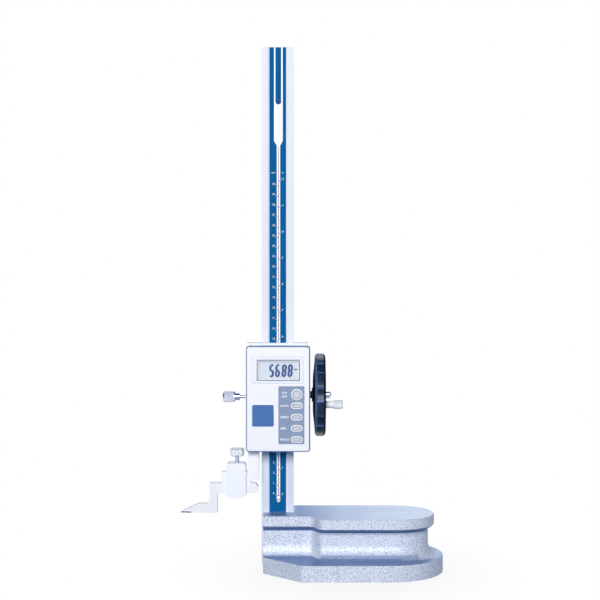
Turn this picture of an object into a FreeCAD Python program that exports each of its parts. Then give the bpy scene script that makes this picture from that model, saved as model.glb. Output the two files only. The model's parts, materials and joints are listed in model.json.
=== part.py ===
import FreeCAD, Part
import math
import os

from FreeCAD import Vector

# Digital height gauge, millimetres.
# X is to the right, Y away from the reader and Z up. The origin is on the base's underside,
# below the middle of the beam's front face.

# Cast iron base
base_left = -13.6
flange_thickness = 15.2
flange_half_width = 55.5
flange_end = 159.5
flange_left_half = 21.0
flange_chamfer_end = 23.0
rim_top = 54.3
rim_thickness = 11.5
rim_half_width = 37.8
rim_end = 151.1
neck_half_width = 21.0
neck_end = 30.6
neck_blend_run = 13.4
back_chamfer_end = 3.2
groove_depth_side = 13.8
groove_depth_neck = 8.0
groove_depth_end = 5.8
groove_depth_back_corner = 8.0
groove_top_radius = 3.6
groove_foot_height = 12.0
groove_foot_run = 12.0
groove_foot_run_left = 7.0
rim_lower_chamfer = 2.0
edge_break = 0.6
underside_relief = 1.2
underside_pad = 15.0
underside_land_end = 40.0

# Beam, with its scale strip and rack
beam_width = 31.0
beam_thickness = 10.0
beam_top = 505.0
beam_foot = 3.0
beam_fit = 0.05
beam_screw_spacing = 8.8
beam_screw_sink = 1.0
strip_width = 16.0
strip_groove_mouth = 19.5
strip_groove_depth = 1.2
strip_thickness = 1.0
strip_bottom = 54.6
rack_width = 8.0
rack_body_depth = 4.5
rack_teeth = 135
rack_teeth_below_wheel = 32
rack_screw_count = 5
rack_screw_margin = 14.0
rack_screw_bite = 1.6
gear_module = 1.0
pressure_angle = 20.0
tooth_thinning = 0.12
root_clearance = 0.25
stop_screw_height = 472.0
stop_screw_offset = 9.5

# Sliding frame
running_gap = 0.05
frame_left = -29.8
frame_right = 29.4
frame_bottom = 118.0
frame_top = 218.7
front_plate_thickness = 8.95
rear_plate_thickness = 5.0
rear_plate_corner = 2.0
plate_screw_margin = 7.3
plate_screw_depth = 8.5
stop_slot_gap = 1.0
stop_slot_length = 6.0
gib_thickness = 2.5
gib_height = 8.0
gib_inset = 8.4
gib_screw_inset = 10.0
gib_screw_sink = 0.4
gib_slot_depth = 0.8
gib_slot_width = 0.5
sensor_window_width = 22.0
sensor_window_height = 56.0
sensor_window_foot = 128.0
sensor_board_thickness = 1.6
sensor_chip_length = 16.0
sensor_gap = 0.3

# Jaw, scriber and clamp
jaw_left = -28.1
jaw_right = -17.6
jaw_foot = 88.0
jaw_plane_front = -17.0
jaw_thickness = 9.0
jaw_root_top = 115.4
jaw_root_height = 9.0
jaw_root_lap = 4.0
jaw_toe_width = 3.2
finger_left = -53.0
finger_bottom = 85.3
finger_top = 95.9
scriber_tip_height = 56.88
scriber_right = -18.4
scriber_shank_height = 9.5
scriber_shank_drop = 0.05
scriber_corner_run = 2.4
scriber_corner_drop = 3.4
scriber_post_left = -64.9
scriber_post_right = -57.2
scriber_blade_thickness = 8.6
scriber_blade_flat_left = -75.0
scriber_nose = -92.6
scriber_nose_thickness = 1.5
scriber_nose_half_width = 1.6
scriber_taper_lead = 2.0
carbide_length = 10.0
carbide_thickness = 1.1
carbide_bevel = 1.2
clamp_left = -48.8
clamp_right = -29.9
clamp_top = 104.5
clamp_wall = 3.9
clamp_top_wall = 5.6
clamp_gap = 0.1
clamp_corner_radius = 3.0
clamp_pad_thickness = 2.4
clamp_pad_inset = 3.0
clamp_screw_radius = 1.9
clamp_screw_x = -38.6
clamp_knob_radius = 7.0
clamp_knob_height = 7.6
clamp_knob_gap = 6.2
clamp_knob_chamfer = 1.3
clamp_knob_flutes = 8
clamp_flute_radius = 2.2
clamp_flute_depth = 0.8

# Display unit
display_left = -29.5
display_right = 31.3
display_bottom = 116.6
display_top = 216.7
display_front = -30.0
display_corner_radius = 3.2
display_edge_chamfer = 1.2
display_wall = 2.2
boss_radius = 3.2
boss_overlap = 0.6
display_screw_sink = 0.3
display_screw_depth = 6.7
window_left = -19.2
window_right = 21.4
window_bottom = 183.9
window_top = 203.7
window_thickness = 1.0
window_recess = 0.5
lcd_margin = 2.0
lcd_thickness = 2.4
lcd_carrier_wall = 1.2
board_thickness = 1.6
board_front = -21.5
board_gap = 0.3
spacer_half_width = 12.0
spacer_top_height = 8.0
spacer_foot_height = 4.0
spacer_margin = 4.0
keypad_left = 1.2
keypad_right = 25.8
keypad_bottom = 124.1
keypad_top = 178.7
keypad_thickness = 0.5
keypad_recess = 0.3
keypad_corner_radius = 1.0
button_x = 18.6
round_button_height = 170.8
round_button_radius = 4.0
oval_button_heights = [160.3, 149.5, 139.0, 128.5]
oval_button_length = 8.5
oval_button_width = 3.5
bezel_width = 1.25
bezel_proud = 0.75
bezel_chamfer = 0.45
button_proud = 1.0
button_chamfer = 0.4
button_gap = 0.15
button_travel = 0.6
button_lip = 0.9
button_lip_thickness = 0.8
button_lip_gap = 0.1
switch_size = 6.0
switch_height = 2.5
switch_post_radius = 1.2
switch_gap = 0.2
cover_size = 20.3
cover_center_x = -13.35
cover_center_z = 150.85
cover_corner_radius = 1.4
cover_proud = 0.25
cover_chamfer = 0.2
cover_depth = 0.9
cell_radius = 5.8
cell_thickness = 5.4
cell_wall = 1.4
cell_side_gap = 0.2
cell_hole_gap = 0.3
cell_front_gap = 0.1

# Wheel drive
wheel_height = 166.9
wheel_radius = 40.5
wheel_left = 36.1
wheel_right = 46.4
wheel_lobes = 9
wheel_lobe_phase = 65.0
scallop_depth = 1.7
scallop_radius = 26.0
lobe_corner_radius = 5.0
wheel_edge_chamfer = 2.0
wheel_rim_width = 8.5
wheel_recess_chamfer = 1.5
wheel_web_thickness = 4.6
wheel_web_rise = 1.0
wheel_dome_left = 34.3
wheel_dome_radius = 35.0
wheel_dome_flat_radius = 19.0
wheel_hub_radius = 7.0
wheel_hub_left = 33.2
wheel_hub_flare = 3.0
wheel_hub_proud = 0.4
pinion_teeth = 16
pinion_width = 7.0
shaft_radius = 3.0
shaft_fit = 0.03
shaft_chamfer = 0.4
shaft_end_gap = 0.2
shaft_collar_gap = 0.3
shaft_collar_radius = 3.6
shaft_nut_radius = 3.5
shaft_nut_length = 5.6
shaft_nut_dome = 1.9
shaft_nut_end_wall = 2.0
bush_wall = 2.2
bush_pinion_gap = 1.0
gear_case_left = -15.0
gear_case_half_height = 17.0
gear_case_back = 30.0
gear_case_wall = 2.0
gear_case_slope_run = 7.0
gear_case_slope_foot = 7.0
gear_case_screw_inset = 4.5
gear_case_screw_lift = 6.0
crank_offset_y = -23.0
crank_offset_z = -7.6
crank_pin_radius = 2.0
crank_pin_inset = 0.8
crank_shoulder_radius = 3.0
crank_shoulder_gap = 0.3
crank_head_rim = 0.8
crank_head_length = 1.2
crank_fit = 0.05
crank_collar_radius = 3.5
crank_collar_length = 7.2
crank_grip_radius = 4.15
crank_grip_length = 8.8
crank_grip_step = 0.3
crank_grip_chamfer = 0.7
crank_side_gap = 0.4

# Lock screw on the left wall
lock_height = 165.9
lock_stud_radius = 1.5
lock_neck_length = 7.1
lock_collar_radius = 3.5
lock_collar_length = 4.4
lock_head_radius = 5.2
lock_head_length = 12.0
lock_head_chamfer = 1.4

# Small screws: shank radius, head radius, head height
cap_screw = (2.0, 3.5, 4.0)
plate_screw = (1.5, 2.8, 2.4)
small_screw = (1.25, 2.2, 1.2)
screw_hole_gap = 0.05
screw_head_gap = 0.2
screw_tip_gap = 0.5
socket_share = 0.55

# Places that follow from the sizes above
rim_bottom = rim_top - rim_thickness
rim_centre = rim_end - rim_half_width
flange_centre = flange_end - flange_half_width
beam_half = beam_width / 2
pitch = math.pi * gear_module
pinion_pitch_radius = pinion_teeth * gear_module / 2
rack_pitch_plane = beam_thickness - gear_module
wheel_axis_y = rack_pitch_plane + pinion_pitch_radius
rear_plate_front = beam_thickness + running_gap
rear_plate_back = rear_plate_front + rear_plate_thickness
front_plate_back = -running_gap
front_plate_front = front_plate_back - front_plate_thickness
gib_right = -beam_half - running_gap
gib_left = gib_right - gib_thickness
jaw_plane_back = jaw_plane_front + jaw_thickness
jaw_middle_y = (jaw_plane_front + jaw_plane_back) / 2
scriber_shank_top = finger_bottom - scriber_shank_drop
scriber_shank_bottom = scriber_shank_top - scriber_shank_height
display_back = front_plate_front
wall_inside = display_front + display_wall
board_back = board_front + board_thickness
cell_front = display_front + cover_depth + cell_front_gap
cell_back = cell_front + cell_thickness
crank_y = wheel_axis_y + crank_offset_y
crank_z = wheel_height + crank_offset_z
nut_left = wheel_right + wheel_hub_proud
nut_right = nut_left + shaft_nut_length
shaft_right = nut_right - shaft_nut_end_wall
crank_grip_left = wheel_right + crank_side_gap
crank_grip_right = crank_grip_left + crank_collar_length + crank_grip_length

# Reach of cutting shapes past what they cut, and the smallest length that counts
far = 400.0
free_way = 40.0
overcut = 1.0
tiny = 1e-4


def box(x0, x1, y0, y1, z0, z1):
    return Part.makeBox(x1 - x0, y1 - y0, z1 - z0, Vector(x0, y0, z0))


def rod(radius, start, end):
    """Round bar from one point to another along an axis."""
    direction = Vector(*end) - Vector(*start)
    return Part.makeCylinder(radius, direction.Length, Vector(*start), direction)


def extrude_points(points, direction):
    """Solid from a closed outline of points, pushed along a direction."""
    corners = [Vector(*p) for p in points]
    face = Part.Face(Part.makePolygon(corners + corners[:1]))
    return face.extrude(Vector(*direction))


def rounded_block(x0, x1, y0, y1, z0, z1, radius):
    """Block whose four edges along Y are rounded."""
    block = box(x0, x1, y0, y1, z0, z1)
    edges = [e for e in block.Edges if e.BoundBox.YLength > tiny]
    return block.makeFillet(radius, edges)


def front_edges(shape, y):
    """Edges that lie in the upright plane at y."""
    return [e for e in shape.Edges if abs(e.BoundBox.YMax - y) < tiny]


def slot_block(x, z, length, width, y0, y1):
    """Block with two round ends, lying along X and pushed along Y."""
    r = width / 2
    run = length / 2 - r
    low_left = Vector(x - run, y0, z - r)
    low_right = Vector(x + run, y0, z - r)
    top_right = Vector(x + run, y0, z + r)
    top_left = Vector(x - run, y0, z + r)
    edges = [
        Part.makeLine(low_left, low_right),
        Part.Arc(low_right, Vector(x + run + r, y0, z), top_right).toShape(),
        Part.makeLine(top_right, top_left),
        Part.Arc(top_left, Vector(x - run - r, y0, z), low_left).toShape(),
    ]
    return Part.Face(Part.Wire(edges)).extrude(Vector(0, y1 - y0, 0))


def socket_screw(size, seat, into, length):
    """Screw with a hexagon socket: its seat, its direction into the metal and its shank length."""
    radius, head_radius, head_height = size
    direction = Vector(*into)
    point = Vector(*seat)
    shank = Part.makeCylinder(radius, length, point, direction)
    head = Part.makeCylinder(head_radius, head_height, point - direction * head_height, direction)
    socket_radius = head_radius * socket_share
    top = point - direction * head_height
    turned = FreeCAD.Rotation(Vector(0, 0, 1), direction)
    corners = []
    for k in range(6):
        angle = math.radians(60 * k)
        corner = Vector(socket_radius * math.cos(angle), socket_radius * math.sin(angle), 0)
        corners.append(top + turned.multVec(corner))
    hexagon = Part.Face(Part.makePolygon(corners + corners[:1]))
    socket = hexagon.extrude(direction * head_height * socket_share)
    return shank.fuse(head).cut(socket).removeSplitter()


def screw_hole(size, seat, into, length):
    """Clearance hole and counterbore for a socket screw."""
    radius, head_radius, head_height = size
    direction = Vector(*into)
    point = Vector(*seat)
    hole = Part.makeCylinder(radius + screw_hole_gap, length, point, direction)
    depth = head_height + free_way
    mouth = Part.makeCylinder(head_radius + screw_head_gap, depth, point - direction * depth, direction)
    return hole.fuse(mouth)


def turned_about_x(profile, y, z):
    """Turned part whose profile is a list of (x, radius)."""
    points = [Vector(x, y, z + r) for x, r in profile]
    face = Part.Face(Part.makePolygon(points + points[:1]))
    return face.revolve(Vector(0, y, z), Vector(1, 0, 0), 360)


# Base

def tier_plan(neck, half, end, back_left):
    """Outline of an upper tier of the base as curves, each a list of (x, y) poles and weights.

    A narrow neck at the front left, a round right end and a straight back with one chamfer.
    """
    blend_end = neck_end + neck_blend_run
    middle = neck_end + neck_blend_run / 2
    turn = math.sqrt(0.5)
    return [
        ([(base_left, -neck), (neck_end, -neck)], [1, 1]),
        ([(neck_end, -neck), (middle, -neck), (middle, -half), (blend_end, -half)], [1, 1, 1, 1]),
        ([(blend_end, -half), (rim_centre, -half)], [1, 1]),
        ([(rim_centre, -half), (end, -half), (end, 0)], [1, turn, 1]),
        ([(end, 0), (end, half), (rim_centre, half)], [1, turn, 1]),
        ([(rim_centre, half), (back_chamfer_end, half)], [1, 1]),
        ([(back_chamfer_end, half), (base_left, back_left)], [1, 1]),
        ([(base_left, back_left), (base_left, -neck)], [1, 1]),
    ]


def rim_plan(offset):
    return tier_plan(neck_half_width + offset, rim_half_width + offset, rim_end + offset,
                     neck_half_width + offset)


def waist_plan(run, run_left):
    """Outline of the groove's wall, pushed out by run, and by run_left at the left end."""
    return tier_plan(neck_half_width - groove_depth_neck + run_left,
                     rim_half_width - groove_depth_side + run,
                     rim_end - groove_depth_end + run,
                     neck_half_width - groove_depth_back_corner + run_left)


def plan_face(plan, z):
    edges = []
    for points, weights in plan:
        degree = len(points) - 1
        curve = Part.BSplineCurve()
        poles = [Vector(x, y, z) for x, y in points]
        curve.buildFromPolesMultsKnots(poles, [degree + 1] * 2, [0, 1], False, degree, weights)
        edges.append(curve.toShape())
    return Part.Face(Part.Wire(edges))


def plan_prism(plan, z0, z1):
    return plan_face(plan, z0).extrude(Vector(0, 0, z1 - z0))


def plan_chamfer(low_plan, z0, high_plan, z1):
    return Part.makeLoft([plan_face(low_plan, z0).OuterWire, plan_face(high_plan, z1).OuterWire], True, True)


def quarter_round(start, corner, end):
    """Exact quarter circle or quarter ellipse, level at its start and upright at its end."""
    run = corner - start
    rise = end - corner
    if abs(run.Length - rise.Length) < tiny:
        middle = end - rise * math.sqrt(0.5) - run * (1 - math.sqrt(0.5))
        return Part.Arc(start, middle, end).toShape()
    curve = Part.BSplineCurve()
    curve.buildFromPolesMultsKnots([start, corner, end], [3, 3], [0, 1], False, 2, [1, math.sqrt(0.5), 1])
    return curve.toShape()


def band_side(outer, inner, z_level, z_upright):
    """Side of a rounded band along one curve of its outline, and the rounds at its two ends."""
    rows = [(outer, z_level), (inner, z_level), (inner, z_upright)]
    turns = [1, math.sqrt(0.5), 1]
    count = len(outer[0])
    poles = [[Vector(*curve[0][i], z) for curve, z in rows] for i in range(count)]
    first = quarter_round(*poles[0])
    last = quarter_round(*poles[-1])
    run = poles[-1][0] - poles[0][0]
    if count == 2 and run.isEqual(poles[-1][1] - poles[0][1], tiny):
        return first.extrude(run), first, last
    weights = [[outer[1][i] * turn for turn in turns] for i in range(count)]
    surface = Part.BSplineSurface()
    surface.buildFromPolesMultsKnots(poles, [count] * 2, [3, 3], [0, 1], [0, 1],
                                     False, False, count - 1, 2, weights)
    return surface.toShape(), first, last


def rounded_band(outer, inner, z_level, z_upright):
    """Solid band whose side is an exact quarter round all along its outline.

    The side starts level at z_level on the outer plan and turns upright at z_upright on the inner
    one. The flat left end is the last curve of both plans.
    """
    sides = [band_side(out, into, z_level, z_upright) for out, into in zip(outer[:-1], inner[:-1])]
    left_back = sides[-1][2]
    left_front = sides[0][1]
    left_end = Part.Wire(Part.sortEdges([
        left_back, left_front,
        Part.makeLine(Vector(*outer[-1][0][0], z_level), Vector(*outer[-1][0][-1], z_level)),
        Part.makeLine(Vector(*inner[-1][0][0], z_upright), Vector(*inner[-1][0][-1], z_upright))])[0])
    faces = [side for side, first, last in sides]
    faces += [Part.Face(left_end), plan_face(outer, z_level), plan_face(inner, z_upright)]
    shell = Part.makeShell(faces)
    shell.sewShape()
    solid = Part.makeSolid(shell)
    if solid.Volume < 0:
        solid.reverse()
    return solid


def flange_solid():
    """Bottom flange: chamfered left corners and a half-round right end."""
    left_front = Vector(base_left, -flange_left_half, 0)
    chamfer_front = Vector(flange_chamfer_end, -flange_half_width, 0)
    round_front = Vector(flange_centre, -flange_half_width, 0)
    round_back = Vector(flange_centre, flange_half_width, 0)
    chamfer_back = Vector(flange_chamfer_end, flange_half_width, 0)
    left_back = Vector(base_left, flange_left_half, 0)
    edges = [
        Part.makeLine(left_front, chamfer_front),
        Part.makeLine(chamfer_front, round_front),
        Part.Arc(round_front, Vector(flange_end, 0, 0), round_back).toShape(),
        Part.makeLine(round_back, chamfer_back),
        Part.makeLine(chamfer_back, left_back),
        Part.makeLine(left_back, left_front),
    ]
    return Part.Face(Part.Wire(edges)).extrude(Vector(0, 0, flange_thickness))


def flange_top_edges(flange):
    """Upper edges of the flange, without the one on the flat left end."""
    found = []
    for edge in flange.Edges:
        bounds = edge.BoundBox
        level = bounds.ZLength < tiny and abs(bounds.ZMax - flange_thickness) < tiny
        if level and bounds.XMax > base_left + edge_break:
            found.append(edge)
    return found


def beam_screw_seats():
    """Seats of the two screws that hold the beam in the base."""
    seat_y = rim_half_width - groove_depth_side - cap_screw[2] - beam_screw_sink
    middle = (flange_thickness + groove_foot_height + rim_bottom - groove_top_radius) / 2
    return [(0, seat_y, middle + side * beam_screw_spacing / 2) for side in (-1, 1)]


def beam_screw_length():
    return beam_screw_seats()[0][1] - beam_thickness / 2


def make_base_casting():
    wall_low = flange_thickness + groove_foot_height
    wall_high = rim_bottom - groove_top_radius
    wall = waist_plan(0, 0)
    lip_top = rim_bottom + rim_lower_chamfer
    rim_wall_top = rim_top - edge_break
    tiers = [
        rounded_band(waist_plan(groove_foot_run, groove_foot_run_left), wall, flange_thickness, wall_low),
        plan_prism(wall, wall_low, wall_high),
        rounded_band(waist_plan(groove_top_radius, groove_top_radius), wall, rim_bottom, wall_high),
        plan_chamfer(rim_plan(-rim_lower_chamfer), rim_bottom, rim_plan(0), lip_top),
        plan_prism(rim_plan(0), lip_top, rim_wall_top),
        plan_chamfer(rim_plan(0), rim_wall_top, rim_plan(-edge_break), rim_top),
    ]
    flange = flange_solid()
    casting = flange.makeChamfer(edge_break, flange_top_edges(flange))
    for tier in tiers:
        casting = casting.fuse(tier)
    slot = box(-far, beam_half + beam_fit, -beam_fit, beam_thickness + beam_fit, beam_foot, far)
    casting = casting.cut(rounded_relief()).cut(slot)
    for seat in beam_screw_seats():
        casting = casting.cut(screw_hole(cap_screw, seat, (0, -1, 0), beam_screw_length()))
    return casting.removeSplitter()


def rounded_relief():
    """Shallow hollow in the underside, so that the base stands on a rim round its edge."""
    half = flange_half_width - underside_pad
    left = underside_land_end
    block = box(left, flange_centre, -half, half, 0, underside_relief)
    end = rod(half, (flange_centre, 0, 0), (flange_centre, 0, underside_relief))
    return block.fuse(end)


def make_beam_screws():
    screws = [socket_screw(cap_screw, seat, (0, -1, 0), beam_screw_length()) for seat in beam_screw_seats()]
    return Part.makeCompound(screws)


# Beam

def rack_foot():
    return wheel_height - rack_teeth_below_wheel * pitch


def rack_head():
    return rack_foot() + rack_teeth * pitch


def rack_screw_heights():
    span = rack_head() - rack_foot() - 2 * rack_screw_margin
    heights = []
    for k in range(rack_screw_count):
        near = rack_foot() + rack_screw_margin + span * k / (rack_screw_count - 1)
        tooth = round((near - rack_foot()) / pitch)
        heights.append(rack_foot() + (tooth + 0.5) * pitch)
    return heights


def make_beam():
    blank = box(-beam_half, beam_half, 0, beam_thickness, beam_foot, beam_top)
    floor_half = strip_width / 2 + beam_fit
    mouth_half = strip_groove_mouth / 2
    groove = extrude_points([
        (-mouth_half, 0, 0), (mouth_half, 0, 0),
        (floor_half, strip_groove_depth, 0), (-floor_half, strip_groove_depth, 0)], (0, 0, beam_top))
    rack_half = rack_width / 2 + beam_fit
    rack_bed = beam_thickness - rack_body_depth
    rack_seat = box(-rack_half, rack_half, rack_bed, beam_thickness,
                    rack_foot() - beam_fit, rack_head() + beam_fit)
    beam = blank.cut(groove).cut(rack_seat)
    for x, y, z in beam_screw_seats():
        beam = beam.cut(rod(cap_screw[0] + screw_hole_gap, (x, beam_thickness, z),
                            (x, y - beam_screw_length() - screw_hole_gap, z)))
    for z in rack_screw_heights():
        seat = (0, strip_groove_depth + small_screw[2], z)
        beam = beam.cut(screw_hole(small_screw, seat, (0, 1, 0), rack_body_depth))
    stop_hole = rod(plate_screw[0] + screw_hole_gap, (stop_screw_offset, beam_thickness, stop_screw_height),
                    (stop_screw_offset, beam_thickness / 2, stop_screw_height))
    return beam.cut(stop_hole).removeSplitter()


def make_scale_strip():
    y0 = strip_groove_depth - strip_thickness
    return box(-strip_width / 2, strip_width / 2, y0, strip_groove_depth, strip_bottom, beam_top)


def make_rack_strip():
    """Straight rack: its tooth space at the wheel's height takes a pinion tooth at rest."""
    slope = math.tan(math.radians(pressure_angle))
    addendum = gear_module
    dedendum = gear_module * (1 + root_clearance)
    half_at_pitch = pitch / 4 - tooth_thinning / 4
    half_tip = half_at_pitch - addendum * slope
    half_root = half_at_pitch + dedendum * slope
    bed = beam_thickness - rack_body_depth
    tip_y = rack_pitch_plane + addendum
    root_y = rack_pitch_plane - dedendum
    points = [(-rack_width / 2, bed, rack_foot())]
    points.append((-rack_width / 2, root_y, rack_foot()))
    for k in range(rack_teeth):
        middle = rack_foot() + (k + 0.5) * pitch
        for y, offset in ((root_y, -half_root), (tip_y, -half_tip), (tip_y, half_tip), (root_y, half_root)):
            points.append((-rack_width / 2, y, middle + offset))
    points.append((-rack_width / 2, root_y, rack_head()))
    points.append((-rack_width / 2, bed, rack_head()))
    rack = extrude_points(points, (rack_width, 0, 0))
    holes = [rod(small_screw[0] + screw_hole_gap, (0, bed, z), (0, bed + rack_screw_bite, z))
             for z in rack_screw_heights()]
    return rack.cut(Part.makeCompound(holes))


def make_rack_screws():
    bed = beam_thickness - rack_body_depth
    seat_y = strip_groove_depth + small_screw[2]
    length = bed + rack_screw_bite - seat_y
    screws = [socket_screw(small_screw, (0, seat_y, z), (0, 1, 0), length) for z in rack_screw_heights()]
    return Part.makeCompound(screws)


def make_stop_screw():
    seat = (stop_screw_offset, beam_thickness, stop_screw_height)
    return socket_screw(plate_screw, seat, (0, -1, 0), beam_thickness / 2 - screw_tip_gap)


# Sliding frame

def plate_screw_seats():
    """Seats on the back of the rear plate, over the frame's two walls, below and above the gear case."""
    left = (frame_left + gib_left) / 2
    right = (frame_right + beam_half) / 2
    reach = gear_case_half_height + plate_screw_margin
    return [(x, rear_plate_back, z) for x in (left, right)
            for z in (wheel_height - reach, wheel_height + reach)]


def plate_screw_length():
    return rear_plate_thickness + plate_screw_depth


def display_screw_seats():
    """Seats of the four screws that come through the frame's front plate into the housing."""
    reach = display_wall + boss_radius - boss_overlap
    y = front_plate_back - plate_screw[2] - display_screw_sink
    return [(x, y, z) for x in (display_left + reach, display_right - reach)
            for z in (display_bottom + reach, display_top - reach)]


def jaw_arm():
    """Arm that steps forward under the display unit and ends in the finger that the scriber seats on."""
    root_bottom = jaw_root_top - jaw_root_height
    lap_top = frame_bottom + jaw_root_lap
    side = [
        (jaw_left, front_plate_back, lap_top), (jaw_left, front_plate_back, root_bottom),
        (jaw_left, jaw_plane_back, root_bottom), (jaw_left, jaw_plane_back, jaw_foot),
        (jaw_left, jaw_plane_front, jaw_foot), (jaw_left, jaw_plane_front, jaw_root_top),
        (jaw_left, front_plate_front, jaw_root_top), (jaw_left, front_plate_front, lap_top)]
    arm = extrude_points(side, (jaw_right - jaw_left, 0, 0))
    finger = box(finger_left, jaw_left, jaw_plane_front, jaw_plane_back, finger_bottom, finger_top)
    toe = box(jaw_left, jaw_left + jaw_toe_width, jaw_plane_front, jaw_plane_back, finger_bottom, finger_top)
    return arm.fuse(finger).fuse(toe)


def make_slider_frame():
    front = box(frame_left, frame_right, front_plate_front, front_plate_back, frame_bottom, frame_top)
    left = box(frame_left, gib_left, front_plate_back, rear_plate_front, frame_bottom, frame_top)
    right = box(beam_half + running_gap, frame_right, front_plate_back, rear_plate_front,
                frame_bottom, frame_top)
    window_half = sensor_window_width / 2
    window = box(-window_half, window_half, -far, 0, sensor_window_foot,
                 sensor_window_foot + sensor_window_height)
    frame = front.fuse(left).fuse(right).cut(window).fuse(jaw_arm())
    hole = lock_stud_radius + running_gap
    frame = frame.cut(rod(hole, (frame_left, beam_thickness / 2, lock_height),
                          (gib_left, beam_thickness / 2, lock_height)))
    for z in gib_screw_heights():
        frame = frame.cut(rod(plate_screw[0] + screw_hole_gap, (frame_left, beam_thickness / 2, z),
                              (gib_left, beam_thickness / 2, z)))
    for x, y, z in plate_screw_seats():
        frame = frame.cut(rod(plate_screw[0] + screw_hole_gap, (x, rear_plate_front, z),
                              (x, y - plate_screw_length(), z)))
    for seat in display_screw_seats():
        frame = frame.cut(screw_hole(plate_screw, seat, (0, -1, 0), front_plate_thickness))
    return frame.removeSplitter()


def gib_screw_heights():
    reach = gib_inset + gib_screw_inset
    return (frame_bottom + reach, frame_top - reach)


def make_gib_strip():
    middle = beam_thickness / 2
    return box(gib_left + running_gap, gib_right, middle - gib_height / 2, middle + gib_height / 2,
               frame_bottom + gib_inset, frame_top - gib_inset)


def make_gib_screws():
    middle = beam_thickness / 2
    half_slot = gib_slot_width / 2
    end = frame_left + gib_screw_sink
    screws = []
    for z in gib_screw_heights():
        body = rod(plate_screw[0], (end, middle, z), (gib_left + running_gap, middle, z))
        slot = box(frame_left, end + gib_slot_depth, middle - half_slot, middle + half_slot,
                   z - plate_screw[0], z + plate_screw[0])
        screws.append(body.cut(slot))
    return Part.makeCompound(screws)


def gear_window():
    """Opening through the rear plate and the gear case for the pinion."""
    reach = pinion_pitch_radius + 2 * gear_module
    half_width = pinion_width / 2 + bush_pinion_gap
    return box(-half_width, half_width, beam_thickness, wheel_axis_y + reach,
               wheel_height - reach, wheel_height + reach)


def make_rear_plate():
    plate = box(frame_left, frame_right, rear_plate_front, rear_plate_back, frame_bottom, frame_top)
    plate = plate.cut(gear_window())
    plate = plate.cut(shaft_tunnel())
    half_slot = plate_screw[1] + stop_slot_gap
    plate = plate.cut(box(stop_screw_offset - half_slot, stop_screw_offset + half_slot,
                          rear_plate_front, rear_plate_front + plate_screw[2] + screw_tip_gap,
                          frame_top - stop_slot_length, frame_top))
    for seat in plate_screw_seats():
        plate = plate.cut(rod(plate_screw[0] + screw_hole_gap, seat,
                              (seat[0], rear_plate_front, seat[2])))
    for x, y, z in gear_case_screw_seats():
        plate = plate.cut(rod(plate_screw[0] + screw_hole_gap, (x, rear_plate_front, z),
                              (x, rear_plate_back, z)))
    corners = [e for e in plate.Edges if is_outer_corner(e)]
    return plate.makeFillet(rear_plate_corner, corners).removeSplitter()


def is_outer_corner(edge):
    bounds = edge.BoundBox
    on_side = min(abs(bounds.XMin - frame_left), abs(bounds.XMin - frame_right)) < tiny
    on_end = min(abs(bounds.ZMin - frame_bottom), abs(bounds.ZMin - frame_top)) < tiny
    return on_side and on_end and bounds.YLength > tiny


def make_plate_screws():
    return Part.makeCompound([socket_screw(plate_screw, seat, (0, -1, 0), plate_screw_length())
                              for seat in plate_screw_seats()])


# Gear case on the rear plate

def gear_case_screw_seats():
    inset = gear_case_screw_inset
    reach = gear_case_half_height - inset
    return [(x, rear_plate_back + gear_case_screw_lift, z)
            for x in (gear_case_left + inset, frame_right - inset)
            for z in (wheel_height - reach, wheel_height + reach)]


def gear_case_screw_length():
    return gear_case_screw_lift + rear_plate_thickness - screw_tip_gap


def axle_rod(radius, x0, x1):
    """Round bar on the wheel's axis."""
    return rod(radius, (x0, wheel_axis_y, wheel_height), (x1, wheel_axis_y, wheel_height))


def shaft_tunnel():
    """Bore for the bushes, open at the right and closed at the left."""
    return axle_rod(shaft_radius + bush_wall, gear_case_left + gear_case_wall, frame_right)


def bush_places():
    """X range of the left and the right shaft bush."""
    left_start = gear_case_left + gear_case_wall
    left_end = -pinion_width / 2 - bush_pinion_gap
    right_start = frame_right - (left_end - left_start)
    return [(left_start, left_end), (right_start, frame_right)]


def make_gear_case():
    """Cast cover of the pinion, with its upper and lower back edges sloped."""
    low = wheel_height - gear_case_half_height
    high = wheel_height + gear_case_half_height
    foot = rear_plate_back + gear_case_slope_foot
    side = [(rear_plate_back, low), (foot, low), (gear_case_back, low + gear_case_slope_run),
            (gear_case_back, high - gear_case_slope_run), (foot, high), (rear_plate_back, high)]
    case = extrude_points([(gear_case_left, y, z) for y, z in side], (frame_right - gear_case_left, 0, 0))
    case = case.cut(gear_window())
    case = case.cut(shaft_tunnel())
    for seat in gear_case_screw_seats():
        case = case.cut(screw_hole(plate_screw, seat, (0, -1, 0), gear_case_screw_length()))
    return case.removeSplitter()


def make_gear_case_screws():
    return Part.makeCompound([socket_screw(plate_screw, seat, (0, -1, 0), gear_case_screw_length())
                              for seat in gear_case_screw_seats()])


def make_shaft_bushes():
    bushes = []
    for start, end in bush_places():
        bore = axle_rod(shaft_radius + shaft_fit, start, end)
        bushes.append(axle_rod(shaft_radius + bush_wall, start, end).cut(bore))
    return Part.makeCompound(bushes)


# Display unit

def ring_sizes():
    """Place, length and width of the five buttons, round one first."""
    places = [(round_button_height, 2 * round_button_radius, 2 * round_button_radius)]
    return places + [(z, oval_button_length, oval_button_width) for z in oval_button_heights]


def key_block(z, length, width, y0, y1):
    if abs(length - width) < tiny:
        return rod(width / 2, (button_x, y0, z), (button_x, y1, z))
    return slot_block(button_x, z, length, width, y0, y1)


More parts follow.
